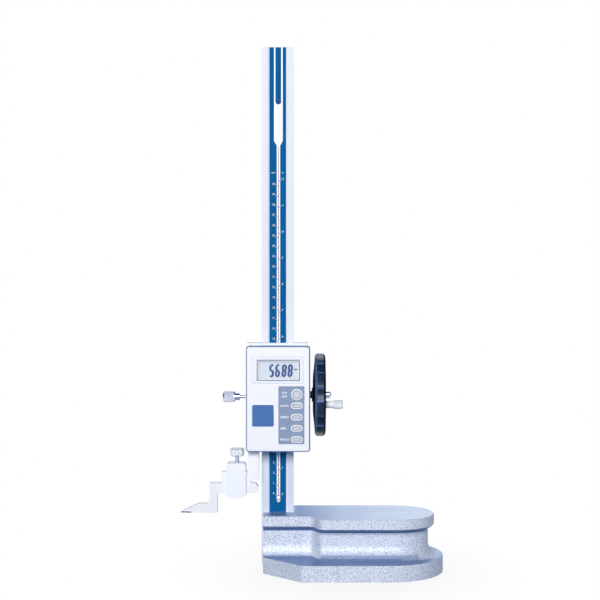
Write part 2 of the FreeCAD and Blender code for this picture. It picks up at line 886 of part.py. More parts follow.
def make_display_housing():
    shell = rounded_block(display_left, display_right, display_front, display_back,
                          display_bottom, display_top, display_corner_radius)
    shell = shell.makeChamfer(display_edge_chamfer, front_edges(shell, display_front))
    hollow = box(display_left + display_wall, display_right - display_wall, wall_inside, display_back,
                 display_bottom + display_wall, display_top - display_wall)
    shell = shell.cut(hollow)
    hole_depth = display_screw_depth + screw_tip_gap
    for x, y, z in display_screw_seats():
        boss = rod(boss_radius, (x, wall_inside, z), (x, display_back, z))
        hole = rod(plate_screw[0] + screw_hole_gap, (x, display_back - hole_depth, z), (x, display_back, z))
        shell = shell.fuse(boss).cut(hole)
    window = box(window_left, window_right, display_front, wall_inside, window_bottom, window_top)
    shell = shell.cut(window)
    recess = rounded_block(keypad_left, keypad_right, display_front, display_front + keypad_recess,
                           keypad_bottom, keypad_top, keypad_corner_radius)
    shell = shell.cut(recess)
    for z, length, width in ring_sizes():
        shell = shell.cut(key_block(z, length + 2 * button_gap, width + 2 * button_gap,
                                    display_front, wall_inside))
    half = cover_size / 2 + screw_hole_gap
    pocket = rounded_block(cover_center_x - half, cover_center_x + half, display_front,
                           display_front + cover_depth, cover_center_z - half, cover_center_z + half,
                           cover_corner_radius)
    cell_hole = rod(cell_radius + cell_hole_gap, (cover_center_x, display_front, cover_center_z),
                    (cover_center_x, wall_inside, cover_center_z))
    return shell.cut(pocket).cut(cell_hole).removeSplitter()


def make_display_screws():
    seats = display_screw_seats()
    length = seats[0][1] - display_back + display_screw_depth
    return Part.makeCompound([socket_screw(plate_screw, seat, (0, -1, 0), length) for seat in seats])


def make_display_window():
    front = display_front + window_recess
    return window_block(-screw_hole_gap, front, front + window_thickness)


def window_block(margin, y0, y1):
    """Block behind the window opening, wider than it by the margin all round."""
    return box(window_left - margin, window_right + margin, y0, y1,
               window_bottom - margin, window_top + margin)


def make_lcd_panel():
    return window_block(lcd_margin, wall_inside, wall_inside + lcd_thickness)


def make_lcd_carrier():
    """Carrier that holds the liquid crystal panel off the board."""
    outer = window_block(lcd_margin + lcd_carrier_wall, wall_inside, board_front)
    return outer.cut(make_lcd_panel()).cut(window_block(0, wall_inside, board_front))


def make_circuit_board():
    inset = display_wall + board_gap
    board = box(display_left + inset, display_right - inset, board_front, board_back,
                display_bottom + inset, display_top - inset)
    for x, y, z in display_screw_seats():
        board = board.cut(rod(boss_radius + board_gap, (x, board_front, z), (x, board_back, z)))
    return board


def make_board_spacers():
    """Foam blocks that hold the main board off the frame's front plate."""
    top = display_top - display_wall - spacer_margin
    bottom = display_bottom + display_wall + spacer_margin
    return Part.makeCompound([
        box(-spacer_half_width, spacer_half_width, board_back, front_plate_front, low, high)
        for low, high in ((top - spacer_top_height, top), (bottom, bottom + spacer_foot_height))])


def make_sensor_board():
    """Reader head of the scale, in the frame's window just off the strip."""
    y1 = strip_groove_depth - strip_thickness - sensor_gap
    half = sensor_window_width / 2 - screw_hole_gap
    foot = sensor_window_foot + screw_hole_gap
    head = sensor_window_foot + sensor_window_height - screw_hole_gap
    board = box(-half, half, y1 - sensor_board_thickness, y1, foot, head)
    middle = (foot + head) / 2
    chip = box(-half / 2, half / 2, front_plate_front, y1 - sensor_board_thickness,
               middle - sensor_chip_length / 2, middle + sensor_chip_length / 2)
    return board.fuse(chip)


def button_back():
    return wall_inside + button_lip_gap + button_lip_thickness


def make_key_switches():
    switches = []
    half = switch_size / 2
    face = board_front - switch_height
    post_end = button_back() + button_travel + switch_gap
    for z, length, width in ring_sizes():
        body = box(button_x - half, button_x + half, face, board_front, z - half, z + half)
        switches.append(body.fuse(rod(switch_post_radius, (button_x, post_end, z), (button_x, face, z))))
    return Part.makeCompound(switches)


def make_keypad_panel():
    front = display_front + keypad_recess - keypad_thickness
    panel = rounded_block(keypad_left + screw_hole_gap, keypad_right - screw_hole_gap, front,
                          display_front + keypad_recess, keypad_bottom + screw_hole_gap,
                          keypad_top - screw_hole_gap, keypad_corner_radius)
    for z, length, width in ring_sizes():
        panel = panel.cut(key_block(z, length + 2 * button_gap, width + 2 * button_gap,
                                    front, display_front + keypad_recess))
    return panel


def make_button_bezels():
    back = display_front + keypad_recess - keypad_thickness
    rings = []
    for z, length, width in ring_sizes():
        outer = key_block(z, length + 2 * (button_gap + bezel_width), width + 2 * (button_gap + bezel_width),
                          back - bezel_proud, back)
        outer = outer.makeChamfer(bezel_chamfer, front_edges(outer, back - bezel_proud))
        inner = key_block(z, length + 2 * button_gap, width + 2 * button_gap, back - bezel_proud, back)
        rings.append(outer.cut(inner))
    return Part.makeCompound(rings)


def make_button(z, length, width):
    """Push button with a lip behind the housing wall that keeps it in."""
    front = display_front + keypad_recess - keypad_thickness - button_proud
    lip_front = wall_inside + button_lip_gap
    cap = key_block(z, length, width, front, lip_front)
    cap = cap.makeChamfer(button_chamfer, front_edges(cap, front))
    lip = key_block(z, length + 2 * button_lip, width + 2 * button_lip, lip_front, button_back())
    return cap.fuse(lip).removeSplitter()


def make_battery_cover():
    half = cover_size / 2
    plate = rounded_block(cover_center_x - half, cover_center_x + half, display_front - cover_proud,
                          display_front + cover_depth, cover_center_z - half, cover_center_z + half,
                          cover_corner_radius)
    return plate.makeChamfer(cover_chamfer, front_edges(plate, display_front - cover_proud))


def cell_rod(radius, y0, y1):
    return rod(radius, (cover_center_x, y0, cover_center_z), (cover_center_x, y1, cover_center_z))


def make_battery():
    return cell_rod(cell_radius, cell_front, cell_back)


def make_battery_holder():
    """Cup on the main board that the cell sits in."""
    inner_radius = cell_radius + cell_side_gap
    cup = cell_rod(inner_radius + cell_wall, wall_inside, board_front)
    return cup.cut(cell_rod(inner_radius, wall_inside, cell_back))


# Lock screw

def make_lock_screw():
    y = beam_thickness / 2
    collar_left = frame_left - lock_neck_length - lock_collar_length
    head_left = collar_left - lock_head_length
    profile = [
        (gib_left, 0), (gib_left, lock_stud_radius),
        (collar_left + lock_collar_length, lock_stud_radius),
        (collar_left + lock_collar_length, lock_collar_radius), (collar_left, lock_collar_radius),
        (collar_left, lock_head_radius), (head_left + lock_head_chamfer, lock_head_radius),
        (head_left, lock_head_radius - lock_head_chamfer), (head_left, 0)]
    return turned_about_x(profile, y, lock_height)


# Handwheel and pinion

def involute_point(base_radius, radius):
    """Polar angle that the involute has turned through at a radius."""
    ratio = base_radius / radius
    if ratio >= 1:
        return 0.0
    pressure = math.acos(ratio)
    return math.tan(pressure) - pressure


def make_pinion():
    """Spur pinion with involute flanks; one tooth points at the rack at rest."""
    pitch_radius = pinion_pitch_radius
    tip_radius = pitch_radius + gear_module
    root_radius = pitch_radius - gear_module * (1 + root_clearance)
    base_radius = pitch_radius * math.cos(math.radians(pressure_angle))
    half_tooth = math.pi / (2 * pinion_teeth) - tooth_thinning / (4 * pitch_radius)
    at_pitch = involute_point(base_radius, pitch_radius)
    steps = 4
    radii = [max(root_radius, base_radius) + (tip_radius - max(root_radius, base_radius)) * k / (steps - 1)
             for k in range(steps)]
    flank = [(root_radius, half_tooth + at_pitch)] if root_radius < base_radius else []
    flank += [(r, half_tooth + at_pitch - involute_point(base_radius, r)) for r in radii]
    points = []
    for k in range(pinion_teeth):
        middle = math.pi + 2 * math.pi * k / pinion_teeth
        for r, angle in flank:
            points.append((r, middle - angle))
        for r, angle in reversed(flank):
            points.append((r, middle + angle))
    outline = [(-pinion_width / 2, wheel_axis_y + r * math.cos(a), wheel_height + r * math.sin(a))
               for r, a in points]
    gear = extrude_points(outline, (pinion_width, 0, 0))
    return gear.cut(axle_rod(shaft_radius, -pinion_width / 2, pinion_width / 2))


def make_wheel_shaft():
    """Stepped shaft: journals in the bushes, a collar against the wheel hub."""
    start = gear_case_left + gear_case_wall + shaft_end_gap
    collar_start = frame_right + shaft_collar_gap
    profile = [
        (start, 0), (start, shaft_radius - shaft_chamfer), (start + shaft_chamfer, shaft_radius),
        (collar_start, shaft_radius), (collar_start, shaft_collar_radius),
        (wheel_hub_left, shaft_collar_radius), (wheel_hub_left, shaft_radius),
        (shaft_right, shaft_radius), (shaft_right, 0)]
    return turned_about_x(profile, wheel_axis_y, wheel_height)


def wheel_point(x, radius, degrees):
    """Point of the handwheel; its angle starts at the reader's side and runs upward."""
    angle = math.radians(degrees)
    return Vector(x, wheel_axis_y - radius * math.cos(angle), wheel_height + radius * math.sin(angle))


def scalloped_disc():
    """Blank of the handwheel: lobes and hollows in turn, run into each other, with bevelled sides."""
    reach = wheel_radius + scallop_radius - scallop_depth
    share = (wheel_radius ** 2 + reach ** 2 - scallop_radius ** 2) / (2 * wheel_radius * reach)
    half = math.degrees(math.acos(share))
    step = 360 / wheel_lobes
    edges = []
    for k in range(wheel_lobes):
        hollow = wheel_lobe_phase + (k + 0.5) * step
        start = wheel_point(wheel_left, wheel_radius, hollow - half)
        middle = wheel_point(wheel_left, wheel_radius - scallop_depth, hollow)
        end = wheel_point(wheel_left, wheel_radius, hollow + half)
        lobe = wheel_point(wheel_left, wheel_radius, hollow + step / 2)
        following = wheel_point(wheel_left, wheel_radius, hollow + step - half)
        edges += [Part.Arc(start, middle, end).toShape(), Part.Arc(end, lobe, following).toShape()]
    disc = Part.Face(Part.Wire(edges)).extrude(Vector(wheel_right - wheel_left, 0, 0))
    disc = disc.makeFillet(lobe_corner_radius, [e for e in disc.Edges if e.BoundBox.XLength > tiny])
    return disc.makeChamfer(wheel_edge_chamfer, [e for e in disc.Edges if e.BoundBox.XLength < tiny])


def make_handwheel():
    """Dished wheel: a scalloped rim round a web that is domed on the left and hollow on the right."""
    rim_inner = wheel_radius - wheel_rim_width
    join_radius = (rim_inner + wheel_recess_chamfer + wheel_dome_radius) / 2
    web_right = wheel_dome_left + wheel_web_thickness
    hub_right = wheel_right + wheel_hub_proud

    inner = turned_about_x([
        (wheel_hub_left, shaft_radius), (wheel_hub_left, wheel_hub_radius),
        (wheel_dome_left, wheel_hub_radius), (wheel_dome_left, wheel_dome_flat_radius),
        (wheel_left, wheel_dome_radius), (wheel_left, join_radius), (wheel_right, join_radius),
        (wheel_right, rim_inner + wheel_recess_chamfer), (web_right + wheel_web_rise, rim_inner),
        (web_right, wheel_hub_radius + wheel_hub_flare), (hub_right, wheel_hub_radius),
        (hub_right, shaft_radius)], wheel_axis_y, wheel_height)
    bore = axle_rod(join_radius, wheel_left, wheel_right)
    pin_hole = rod(crank_pin_radius, (wheel_hub_left, crank_y, crank_z), (wheel_right, crank_y, crank_z))
    return scalloped_disc().cut(bore).fuse(inner).cut(pin_hole).removeSplitter()


def make_wheel_nut():
    """Domed nut on the end of the shaft."""
    dome_left = nut_right - shaft_nut_dome
    ball_radius = (shaft_nut_radius ** 2 + shaft_nut_dome ** 2) / (2 * shaft_nut_dome)
    centre = Vector(nut_right - ball_radius, wheel_axis_y, wheel_height)
    ball = Part.makeSphere(ball_radius, centre)
    ball.rotate(centre, Vector(0, 0, 1), 180)
    dome = axle_rod(shaft_nut_radius, dome_left, nut_right).common(ball)
    nut = axle_rod(shaft_nut_radius, nut_left, dome_left).fuse(dome)
    return nut.cut(axle_rod(shaft_radius, nut_left, shaft_right))


def web_face_at_crank():
    """X of the wheel's right web face at the crank pin."""
    radius = math.hypot(crank_offset_y, crank_offset_z)
    inner = wheel_hub_radius + wheel_hub_flare
    outer = wheel_radius - wheel_rim_width
    rise = wheel_web_rise * (radius - inner) / (outer - inner)
    return wheel_dome_left + wheel_web_thickness + rise


def make_crank_pin():
    """Shouldered pin riveted into the web; its head keeps the grip on."""
    left = wheel_dome_left + crank_pin_inset
    shoulder_left = web_face_at_crank() + crank_shoulder_gap
    head_left = crank_grip_right - crank_head_length
    head_radius = crank_pin_radius + crank_head_rim
    profile = [
        (left, 0), (left, crank_pin_radius),
        (shoulder_left, crank_pin_radius), (shoulder_left, crank_shoulder_radius),
        (wheel_right, crank_shoulder_radius), (wheel_right, crank_pin_radius),
        (head_left, crank_pin_radius), (head_left, head_radius),
        (crank_grip_right, head_radius), (crank_grip_right, 0)]
    return turned_about_x(profile, crank_y, crank_z)


def make_crank_handle():
    """Loose grip: a plain collar and a wider gripping part."""
    step = crank_grip_left + crank_collar_length
    bore = crank_pin_radius + crank_fit
    head_bore = crank_pin_radius + crank_head_rim + crank_fit
    seat = crank_grip_right - crank_head_length - 2 * crank_fit
    profile = [
        (crank_grip_left, bore), (crank_grip_left, crank_collar_radius), (step, crank_collar_radius),
        (step, crank_grip_radius - crank_grip_step), (step + crank_grip_step, crank_grip_radius),
        (crank_grip_right - crank_grip_chamfer, crank_grip_radius),
        (crank_grip_right, crank_grip_radius - crank_grip_chamfer),
        (crank_grip_right, head_bore), (seat, head_bore), (seat, bore)]
    return turned_about_x(profile, crank_y, crank_z)


# Scriber and clamp

def make_scriber():
    """Offset scriber: shank, drop post and a blade whose top slopes down to the nose."""
    bottom = scriber_tip_height
    blade_top = bottom + scriber_blade_thickness
    nose_top = bottom + scriber_nose_thickness
    carbide_right = scriber_nose + carbide_length
    carbide_top = bottom + carbide_thickness
    tip_left = scriber_nose + carbide_bevel
    corner_left = scriber_right - scriber_corner_run
    side = [
        (scriber_post_left, scriber_shank_top), (corner_left, scriber_shank_top),
        (scriber_right, scriber_shank_top - scriber_corner_drop),
        (scriber_right, scriber_shank_bottom + scriber_corner_run), (corner_left, scriber_shank_bottom),
        (scriber_post_right, scriber_shank_bottom), (scriber_post_right, bottom), (carbide_right, bottom),
        (carbide_right, carbide_top), (tip_left, carbide_top), (tip_left, nose_top),
        (scriber_blade_flat_left, blade_top), (scriber_post_left, blade_top)]
    body = extrude_points([(x, jaw_plane_front, z) for x, z in side], (0, jaw_thickness, 0))
    return body.cut(nose_taper(1)).cut(nose_taper(-1))


def nose_taper(side):
    """Wedge that narrows the blade in plan towards its nose."""
    start = scriber_blade_flat_left - scriber_taper_lead
    end = scriber_nose - overcut
    edge = jaw_middle_y + side * jaw_thickness / 2
    outside = jaw_middle_y + side * jaw_thickness
    nose = jaw_middle_y + side * scriber_nose_half_width
    low = scriber_tip_height - overcut
    return extrude_points([(start, edge, low), (start, outside, low), (end, outside, low), (end, nose, low)],
                          (0, 0, scriber_blade_thickness + 2 * overcut))


def make_carbide_tip():
    """Hard tip brazed under the nose, ground to a chisel edge."""
    bottom = scriber_tip_height
    top = bottom + carbide_thickness
    right = scriber_nose + carbide_length
    side = [(right, bottom), (right, top), (scriber_nose + carbide_bevel, top), (scriber_nose, bottom)]
    tip = extrude_points([(x, jaw_plane_front, z) for x, z in side], (0, jaw_thickness, 0))
    return tip.cut(nose_taper(1)).cut(nose_taper(-1))


def clamp_bottom():
    return scriber_shank_bottom - clamp_gap / 2 - clamp_wall


def make_clamp_stirrup():
    """Square loop round the finger and the scriber's shank."""
    front = jaw_plane_front - clamp_gap - clamp_wall
    back = jaw_plane_back + clamp_gap + clamp_wall
    loop = rounded_block(clamp_left, clamp_right, front, back, clamp_bottom(), clamp_top, clamp_corner_radius)
    window = box(clamp_left, clamp_right, jaw_plane_front - clamp_gap, jaw_plane_back + clamp_gap,
                 scriber_shank_bottom - clamp_gap / 2, clamp_top - clamp_top_wall)
    hole = rod(clamp_screw_radius + running_gap, (clamp_screw_x, jaw_middle_y, clamp_top - clamp_top_wall),
               (clamp_screw_x, jaw_middle_y, clamp_top))
    return loop.cut(window).cut(hole)


def make_clamp_pad():
    """Pressure pad between the screw and the finger."""
    return box(clamp_left + clamp_pad_inset, clamp_right - clamp_pad_inset, jaw_plane_front, jaw_plane_back,
               finger_top, finger_top + clamp_pad_thickness)


def make_clamp_screw():
    """Thumb screw with a scalloped knob."""
    low = finger_top + clamp_pad_thickness + running_gap
    knob_low = clamp_top + clamp_knob_gap
    knob_high = knob_low + clamp_knob_height
    y = jaw_middle_y
    x = clamp_screw_x
    stud = rod(clamp_screw_radius, (x, y, low), (x, y, knob_low))
    knob = rod(clamp_knob_radius, (x, y, knob_low), (x, y, knob_high))
    rims = [e for e in knob.Edges if e.BoundBox.ZLength < tiny]
    knob = knob.makeChamfer(clamp_knob_chamfer, rims)
    reach = clamp_knob_radius + clamp_flute_radius - clamp_flute_depth
    for k in range(clamp_knob_flutes):
        angle = 2 * math.pi * (k + 0.5) / clamp_knob_flutes
        cx = x + reach * math.cos(angle)
        cy = y + reach * math.sin(angle)
        knob = knob.cut(rod(clamp_flute_radius, (cx, cy, knob_low), (cx, cy, knob_high)))
    return stud.fuse(knob).removeSplitter()


button_names = ["on_off_button", "unit_button", "zero_button", "abs_button", "hold_button"]

nodes = {
    "base_casting": make_base_casting(),
    "beam_screws": make_beam_screws(),
    "beam": make_beam(),
    "scale_strip": make_scale_strip(),
    "rack_strip": make_rack_strip(),
    "rack_screws": make_rack_screws(),
    "stop_screw": make_stop_screw(),
    "slider_frame": make_slider_frame(),
    "gib_strip": make_gib_strip(),
    "gib_screws": make_gib_screws(),
    "rear_plate": make_rear_plate(),
    "plate_screws": make_plate_screws(),
    "gear_case": make_gear_case(),
    "gear_case_screws": make_gear_case_screws(),
    "shaft_bushes": make_shaft_bushes(),
    "display_housing": make_display_housing(),
    "display_screws": make_display_screws(),
    "display_window": make_display_window(),
    "lcd_panel": make_lcd_panel(),
    "lcd_carrier": make_lcd_carrier(),
    "circuit_board": make_circuit_board(),
    "board_spacers": make_board_spacers(),
    "sensor_board": make_sensor_board(),
    "key_switches": make_key_switches(),
    "keypad_panel": make_keypad_panel(),
    "button_bezels": make_button_bezels(),
    "battery_cover": make_battery_cover(),
    "battery": make_battery(),
    "battery_holder": make_battery_holder(),
    "lock_screw": make_lock_screw(),
    "handwheel": make_handwheel(),
    "wheel_shaft": make_wheel_shaft(),
    "pinion": make_pinion(),
    "wheel_nut": make_wheel_nut(),
    "crank_pin": make_crank_pin(),
    "crank_handle": make_crank_handle(),
    "scriber": make_scriber(),
    "carbide_tip": make_carbide_tip(),
    "clamp_stirrup": make_clamp_stirrup(),
    "clamp_pad": make_clamp_pad(),
    "clamp_screw": make_clamp_screw(),
}
for name, (z, length, width) in zip(button_names, ring_sizes()):
    nodes[name] = make_button(z, length, width)

os.makedirs("parts", exist_ok=True)
for name, shape in nodes.items():
    shape.exportStep("parts/" + name + ".step")
    print(name, len(shape.Solids), "solids, valid", shape.isValid(), "volume", round(shape.Volume, 1))
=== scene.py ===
import bpy
import json
import math
from mathutils import Matrix, Vector


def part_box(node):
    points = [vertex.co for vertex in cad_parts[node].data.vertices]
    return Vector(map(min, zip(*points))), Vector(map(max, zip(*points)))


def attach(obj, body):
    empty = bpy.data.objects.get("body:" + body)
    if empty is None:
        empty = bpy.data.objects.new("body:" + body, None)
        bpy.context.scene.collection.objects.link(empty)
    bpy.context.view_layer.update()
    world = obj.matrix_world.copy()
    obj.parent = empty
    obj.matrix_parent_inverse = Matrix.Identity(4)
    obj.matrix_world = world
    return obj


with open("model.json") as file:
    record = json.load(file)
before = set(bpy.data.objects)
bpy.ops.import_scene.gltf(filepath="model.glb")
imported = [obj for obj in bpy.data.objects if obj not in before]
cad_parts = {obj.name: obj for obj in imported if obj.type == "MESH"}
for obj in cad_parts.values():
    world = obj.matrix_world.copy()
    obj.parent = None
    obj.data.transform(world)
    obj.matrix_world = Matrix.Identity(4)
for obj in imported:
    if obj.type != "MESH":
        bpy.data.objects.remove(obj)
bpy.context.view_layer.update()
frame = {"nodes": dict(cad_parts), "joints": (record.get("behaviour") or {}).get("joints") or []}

# Sizes and places are in millimetres in the part's frame, and MM turns them into metres.
MM = 0.001
LOW, HIGH = 0, 1
FACING_FRONT = (math.radians(90), 0, 0)


def edge_of(node, end, axis):
    """Lowest or highest place of a CAD node along an axis."""
    return round(getattr(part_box(node)[end], axis) / MM, 2)


def front_area(node):
    """Area that a CAD node takes up from the front, as x0, x1, z0, z1."""
    return tuple(edge_of(node, end, axis) for axis in "xz" for end in (LOW, HIGH))


def axis_of(joint):
    """Point on the axis of a joint."""
    rows = {row["name"]: row for row in frame["joints"]}
    return [round(value / MM, 2) for value in rows[joint]["pos_m"]]


def shrunk(area, border):
    """Area with a border taken off all round."""
    x0, x1, z0, z1 = area
    return (x0 + border, x1 - border, z0 + border, z1 - border)


def within(area, point):
    """Whether a point in metres lies in an area, seen from the front."""
    x0, x1, z0, z1 = area
    return x0 < point.x / MM < x1 and z0 < point.z / MM < z1


# Printed scale on the beam: an ink layer stands on the strip, and the blue marks stand on the white.
# A pair runs from x to x.
INK = 0.02
STRIP_FACE = edge_of("scale_strip", LOW, "y")
STRIP_TOP = edge_of("scale_strip", HIGH, "z")
PRINT_FACE = STRIP_FACE - INK
MARK_FACE = STRIP_FACE - 2 * INK
ZERO_HEIGHT = 70.5
CENTIMETRE, CENTIMETRES = 10.0, 30
INCH, INCHES = 25.4, 12
STRIPE_LEFT = (-3.62, -2.2)
STRIPE_RIGHT = (3.3, 4.9)
TONGUE = (STRIPE_LEFT[1], STRIPE_RIGHT[0])
TONGUE_OVERLAP = 0.5
POCKET_TOP = 452.2
POCKET_FOOT = 414.3
BAND_TOP = 409.6
BAND_FOOT = 64.1
BAND = (-0.94, 2.4)
BAND_RADIUS = (BAND[1] - BAND[0]) / 2
CENTRE_LINE = (0.66, 1.08)
CENTRE_LINE_END = BAND_TOP - 0.8
LEADER_FOOT = ZERO_HEIGHT + 0.3
LEADER_TOP = ZERO_HEIGHT + 0.55
LEADER_TURN = 28
LEFT_LEADER = (-2.4, -1.0)
RIGHT_LEADER = (2.5, 3.7)
MARKS_END = 0.75
INCH_MARKS_START = 1.0
# middle of the numbers, their height over their mark, and their size
LEFT_NUMBERS = (-4.0, 2.0, 2.7)
RIGHT_NUMBERS = (4.7, 1.8, 2.6)
# middle, height and size of the words over the numbers
LEFT_UNIT = (-4.3, 383.4, 2.6)
RIGHT_UNIT = (4.8, 383.4, 2.6)

# Display unit
HOUSING_FACE = edge_of("display_housing", LOW, "y")
KEYPAD_FACE = edge_of("keypad_panel", LOW, "y")
LCD_FACE = edge_of("lcd_panel", LOW, "y")
WINDOW_PLAY = 0.05
WINDOW = shrunk(front_area("display_window"), -WINDOW_PLAY)
WINDOW_LAP = 0.2
FRAME_BORDER = 0.85
FRAME_CORNER = 0.6
FRAME_BACK = HOUSING_FACE + 0.45
FRAME_FRONT = HOUSING_FACE - 0.3
LIP_BORDER = 0.8
LIP_CORNER = 0.4
LIP_FRONT = HOUSING_FACE + 0.1
SURROUND = (-24.0, 25.1, 181.2, 206.9)
SURROUND_BORDER = 0.8
SURROUND_FRONT = HOUSING_FACE - 0.25
DIGIT_PLACES = (-5.2, 0.5, 6.6, 12.3)
DIGIT_HEIGHT = 12.2
DIGIT_WIDTH = 4.5
DIGIT_STROKE = 1.8
DIGIT_MIDDLE = 193.3
DIGIT_SLANT = 0.07
# length of a bar as a share of its run, and its bevel as a share of the stroke
SEGMENT_LENGTH = 0.97
SEGMENT_POINT = 0.44
POINT = (3.15, 3.95)
LCD_UNIT = (17.6, 194.6, 2.6)
LCD_UNIT_WEIGHT = 0.12
KEY_LETTERS = 2.8
KEY_SPACING = 1.15
KEY_WEIGHT = 0.09
KEY_WORDS = [
    ("ON", 6.9, 172.5), ("OFF", 6.9, 168.9), ("mm/in", 7.0, 160.3),
    ("ZERO", 7.0, 149.5), ("ABS", 5.7, 139.0), ("HOLD", 7.1, 128.5),
]

# Places and directions where a node's finish changes; a direction is a share of a unit length
BASE_TOP = edge_of("base_casting", HIGH, "z")
LEVEL = 0.99
LEVEL_PLAY = 0.03
BEVEL = (0.3, 0.9)
LEDGE = 15.2
GROOVE_FOOT = (LEDGE - 0.1, 24.0)
RIM_FOOT = 36.0
RIM_UNDERSIDE = (-0.97, -0.04)
# slope and reach along x of the painted shade in the groove's foot, a lighter and a darker step
GROOVE_SHADE_SLOPE, GROOVE_SHADE_END = 0.70, 134.0
DEEP_SHADE_SLOPE, DEEP_SHADE_END = 0.88, 118.0
NOT_LEVEL = 0.999
CLAMP_KNOB_FOOT = 109.0
CLAMP_STUD_RADIUS = 3.4
LOCK_HEAD_END = -42.2
LOBE_INSIDE = 39.6
LOBE_TREAD = 0.985


# Finishes

def tone(red, green, blue):
    """Colour given as it looks, 0 to 255, as the linear colour that a shader takes."""
    def channel(value):
        share = value / 255
        return share / 12.92 if share <= 0.04045 else ((share + 0.055) / 1.055) ** 2.4
    return (channel(red), channel(green), channel(blue), 1.0)


def shader_of(name):
    """New material with its node tree and shader."""
    material = bpy.data.materials.new(name)
    material.use_nodes = True
    tree = material.node_tree
    return material, tree, tree.nodes["Principled BSDF"]


EVEN = (1, 1, 1)


def place_on(tree, stretch=EVEN):
    """Place on the piece itself, scaled along its axes by stretch."""
    place = tree.nodes.new("ShaderNodeTexCoord")
    mapping = tree.nodes.new("ShaderNodeMapping")
    mapping.inputs["Scale"].default_value = stretch
    tree.links.new(place.outputs["Object"], mapping.inputs["Vector"])
    return mapping.outputs["Vector"]


def grain_of(tree, stretch, scale, detail=4.0):
    """Noise on the piece itself, with scale waves to the metre, times stretch along each axis."""
    noise = tree.nodes.new("ShaderNodeTexNoise")
    noise.inputs["Scale"].default_value = scale
    noise.inputs["Detail"].default_value = detail
    tree.links.new(place_on(tree, stretch), noise.inputs["Vector"])
    return noise.outputs["Fac"]


def ramp_of(tree, source, stops):
    """Colour that follows a value; stops are (value, colour)."""
    ramp = tree.nodes.new("ShaderNodeValToRGB")
    elements = ramp.color_ramp.elements
    while len(elements) < len(stops):
        elements.new(0.5)
    for element, (value, colour) in zip(elements, stops):
        element.position = value
        element.color = colour
    tree.links.new(source, ramp.inputs["Fac"])
    return ramp.outputs["Color"]


def range_of(tree, source, given, taken=(0.0, 1.0)):
    """Value that runs over the range taken, stretched to the range given."""
    spread = tree.nodes.new("ShaderNodeMapRange")
    spread.inputs["From Min"].default_value, spread.inputs["From Max"].default_value = taken
    spread.inputs["To Min"].default_value, spread.inputs["To Max"].default_value = given
    tree.links.new(source, spread.inputs["Value"])
    return spread.outputs["Result"]


def math_of(tree, operation, first, second=None):
    """Result of a Math node, which takes one value or two."""
    node = tree.nodes.new("ShaderNodeMath")
    node.operation = operation
    tree.links.new(first, node.inputs[0])
    if second is not None:
        tree.links.new(second, node.inputs[1])
    return node.outputs["Value"]


def bump_of(tree, source, shader, strength, distance):
    """Relief of the surface."""
    bump = tree.nodes.new("ShaderNodeBump")
    bump.inputs["Strength"].default_value = strength
    bump.inputs["Distance"].default_value = distance
    tree.links.new(source, bump.inputs["Height"])
    tree.links.new(bump.outputs["Normal"], shader.inputs["Normal"])


def dress(tree, shader, colour, rough, metal, specular):
    """Gives a shader its colour, its roughness and its even values."""
    tree.links.new(colour, shader.inputs["Base Color"])
    tree.links.new(rough, shader.inputs["Roughness"])
    shader.inputs["Metallic"].default_value = metal
    shader.inputs["Specular IOR Level"].default_value = specular


GRAIN_DARK, GRAIN_LIGHT = 0.32, 0.68


def plain_finish(name, light, dark, scale, stretch, rough, metal, relief, specular=0.5, depth=0.0001):
    """Finish with one grain that shades its colour, its gloss and its relief."""
    material, tree, shader = shader_of(name)
    grain = grain_of(tree, stretch, scale)
    colour = ramp_of(tree, grain, [(GRAIN_DARK, tone(*dark)), (GRAIN_LIGHT, tone(*light))])
    dress(tree, shader, colour, range_of(tree, grain, rough), metal, specular)
    bump_of(tree, grain, shader, relief, depth)
    return material


DIMPLES = 1150
DIMPLE_SMOOTHNESS = 0.5
FLAKES = 1250
FLAKE_DETAIL = 3.0
DIMPLE_CROWN, DIMPLE_FLANK, DIMPLE_FOOT = 0.08, 0.24, 0.42
PAINT_ROUGH = (0.36, 0.52)
PAINT_METAL = 0.12
PAINT_SPECULAR = 0.36
PAINT_RELIEF = (0.6, 0.0004)


def hammered_finish(name, crown, flank, foot):
    """Silver-blue hammered paint: small round dimples with lighter crowns, and metal flake in it."""
    material, tree, shader = shader_of(name)
    flakes = grain_of(tree, EVEN, FLAKES, FLAKE_DETAIL)
    cells = tree.nodes.new("ShaderNodeTexVoronoi")
    cells.feature = "SMOOTH_F1"
    cells.inputs["Scale"].default_value = DIMPLES
    cells.inputs["Smoothness"].default_value = DIMPLE_SMOOTHNESS
    tree.links.new(place_on(tree), cells.inputs["Vector"])
    dimples = math_of(tree, "MULTIPLY", cells.outputs["Distance"], flakes)
    colour = ramp_of(tree, dimples, [
        (DIMPLE_CROWN, tone(*crown)), (DIMPLE_FLANK, tone(*flank)), (DIMPLE_FOOT, tone(*foot))])
    dress(tree, shader, colour, range_of(tree, flakes, PAINT_ROUGH), PAINT_METAL, PAINT_SPECULAR)
    bump_of(tree, dimples, shader, *PAINT_RELIEF)
    return material


# stretch, waves to the metre, detail
STREAKS = ((0.6, 14, 1), 60, 6.0)
CLOUDS = ((0.5, 2, 1), 18, 3.0)
GROUND_STREAK = (0.84, 0.86, 0.90, 1)
SATIN_STREAK = (0.97, 0.975, 0.985, 1)
STREAK_DARK, STREAK_LIGHT = 0.35, 0.65
GROUND_ROUGH = (0.36, 0.54)
GROUND_RELIEF = (0.12, 0.0002)


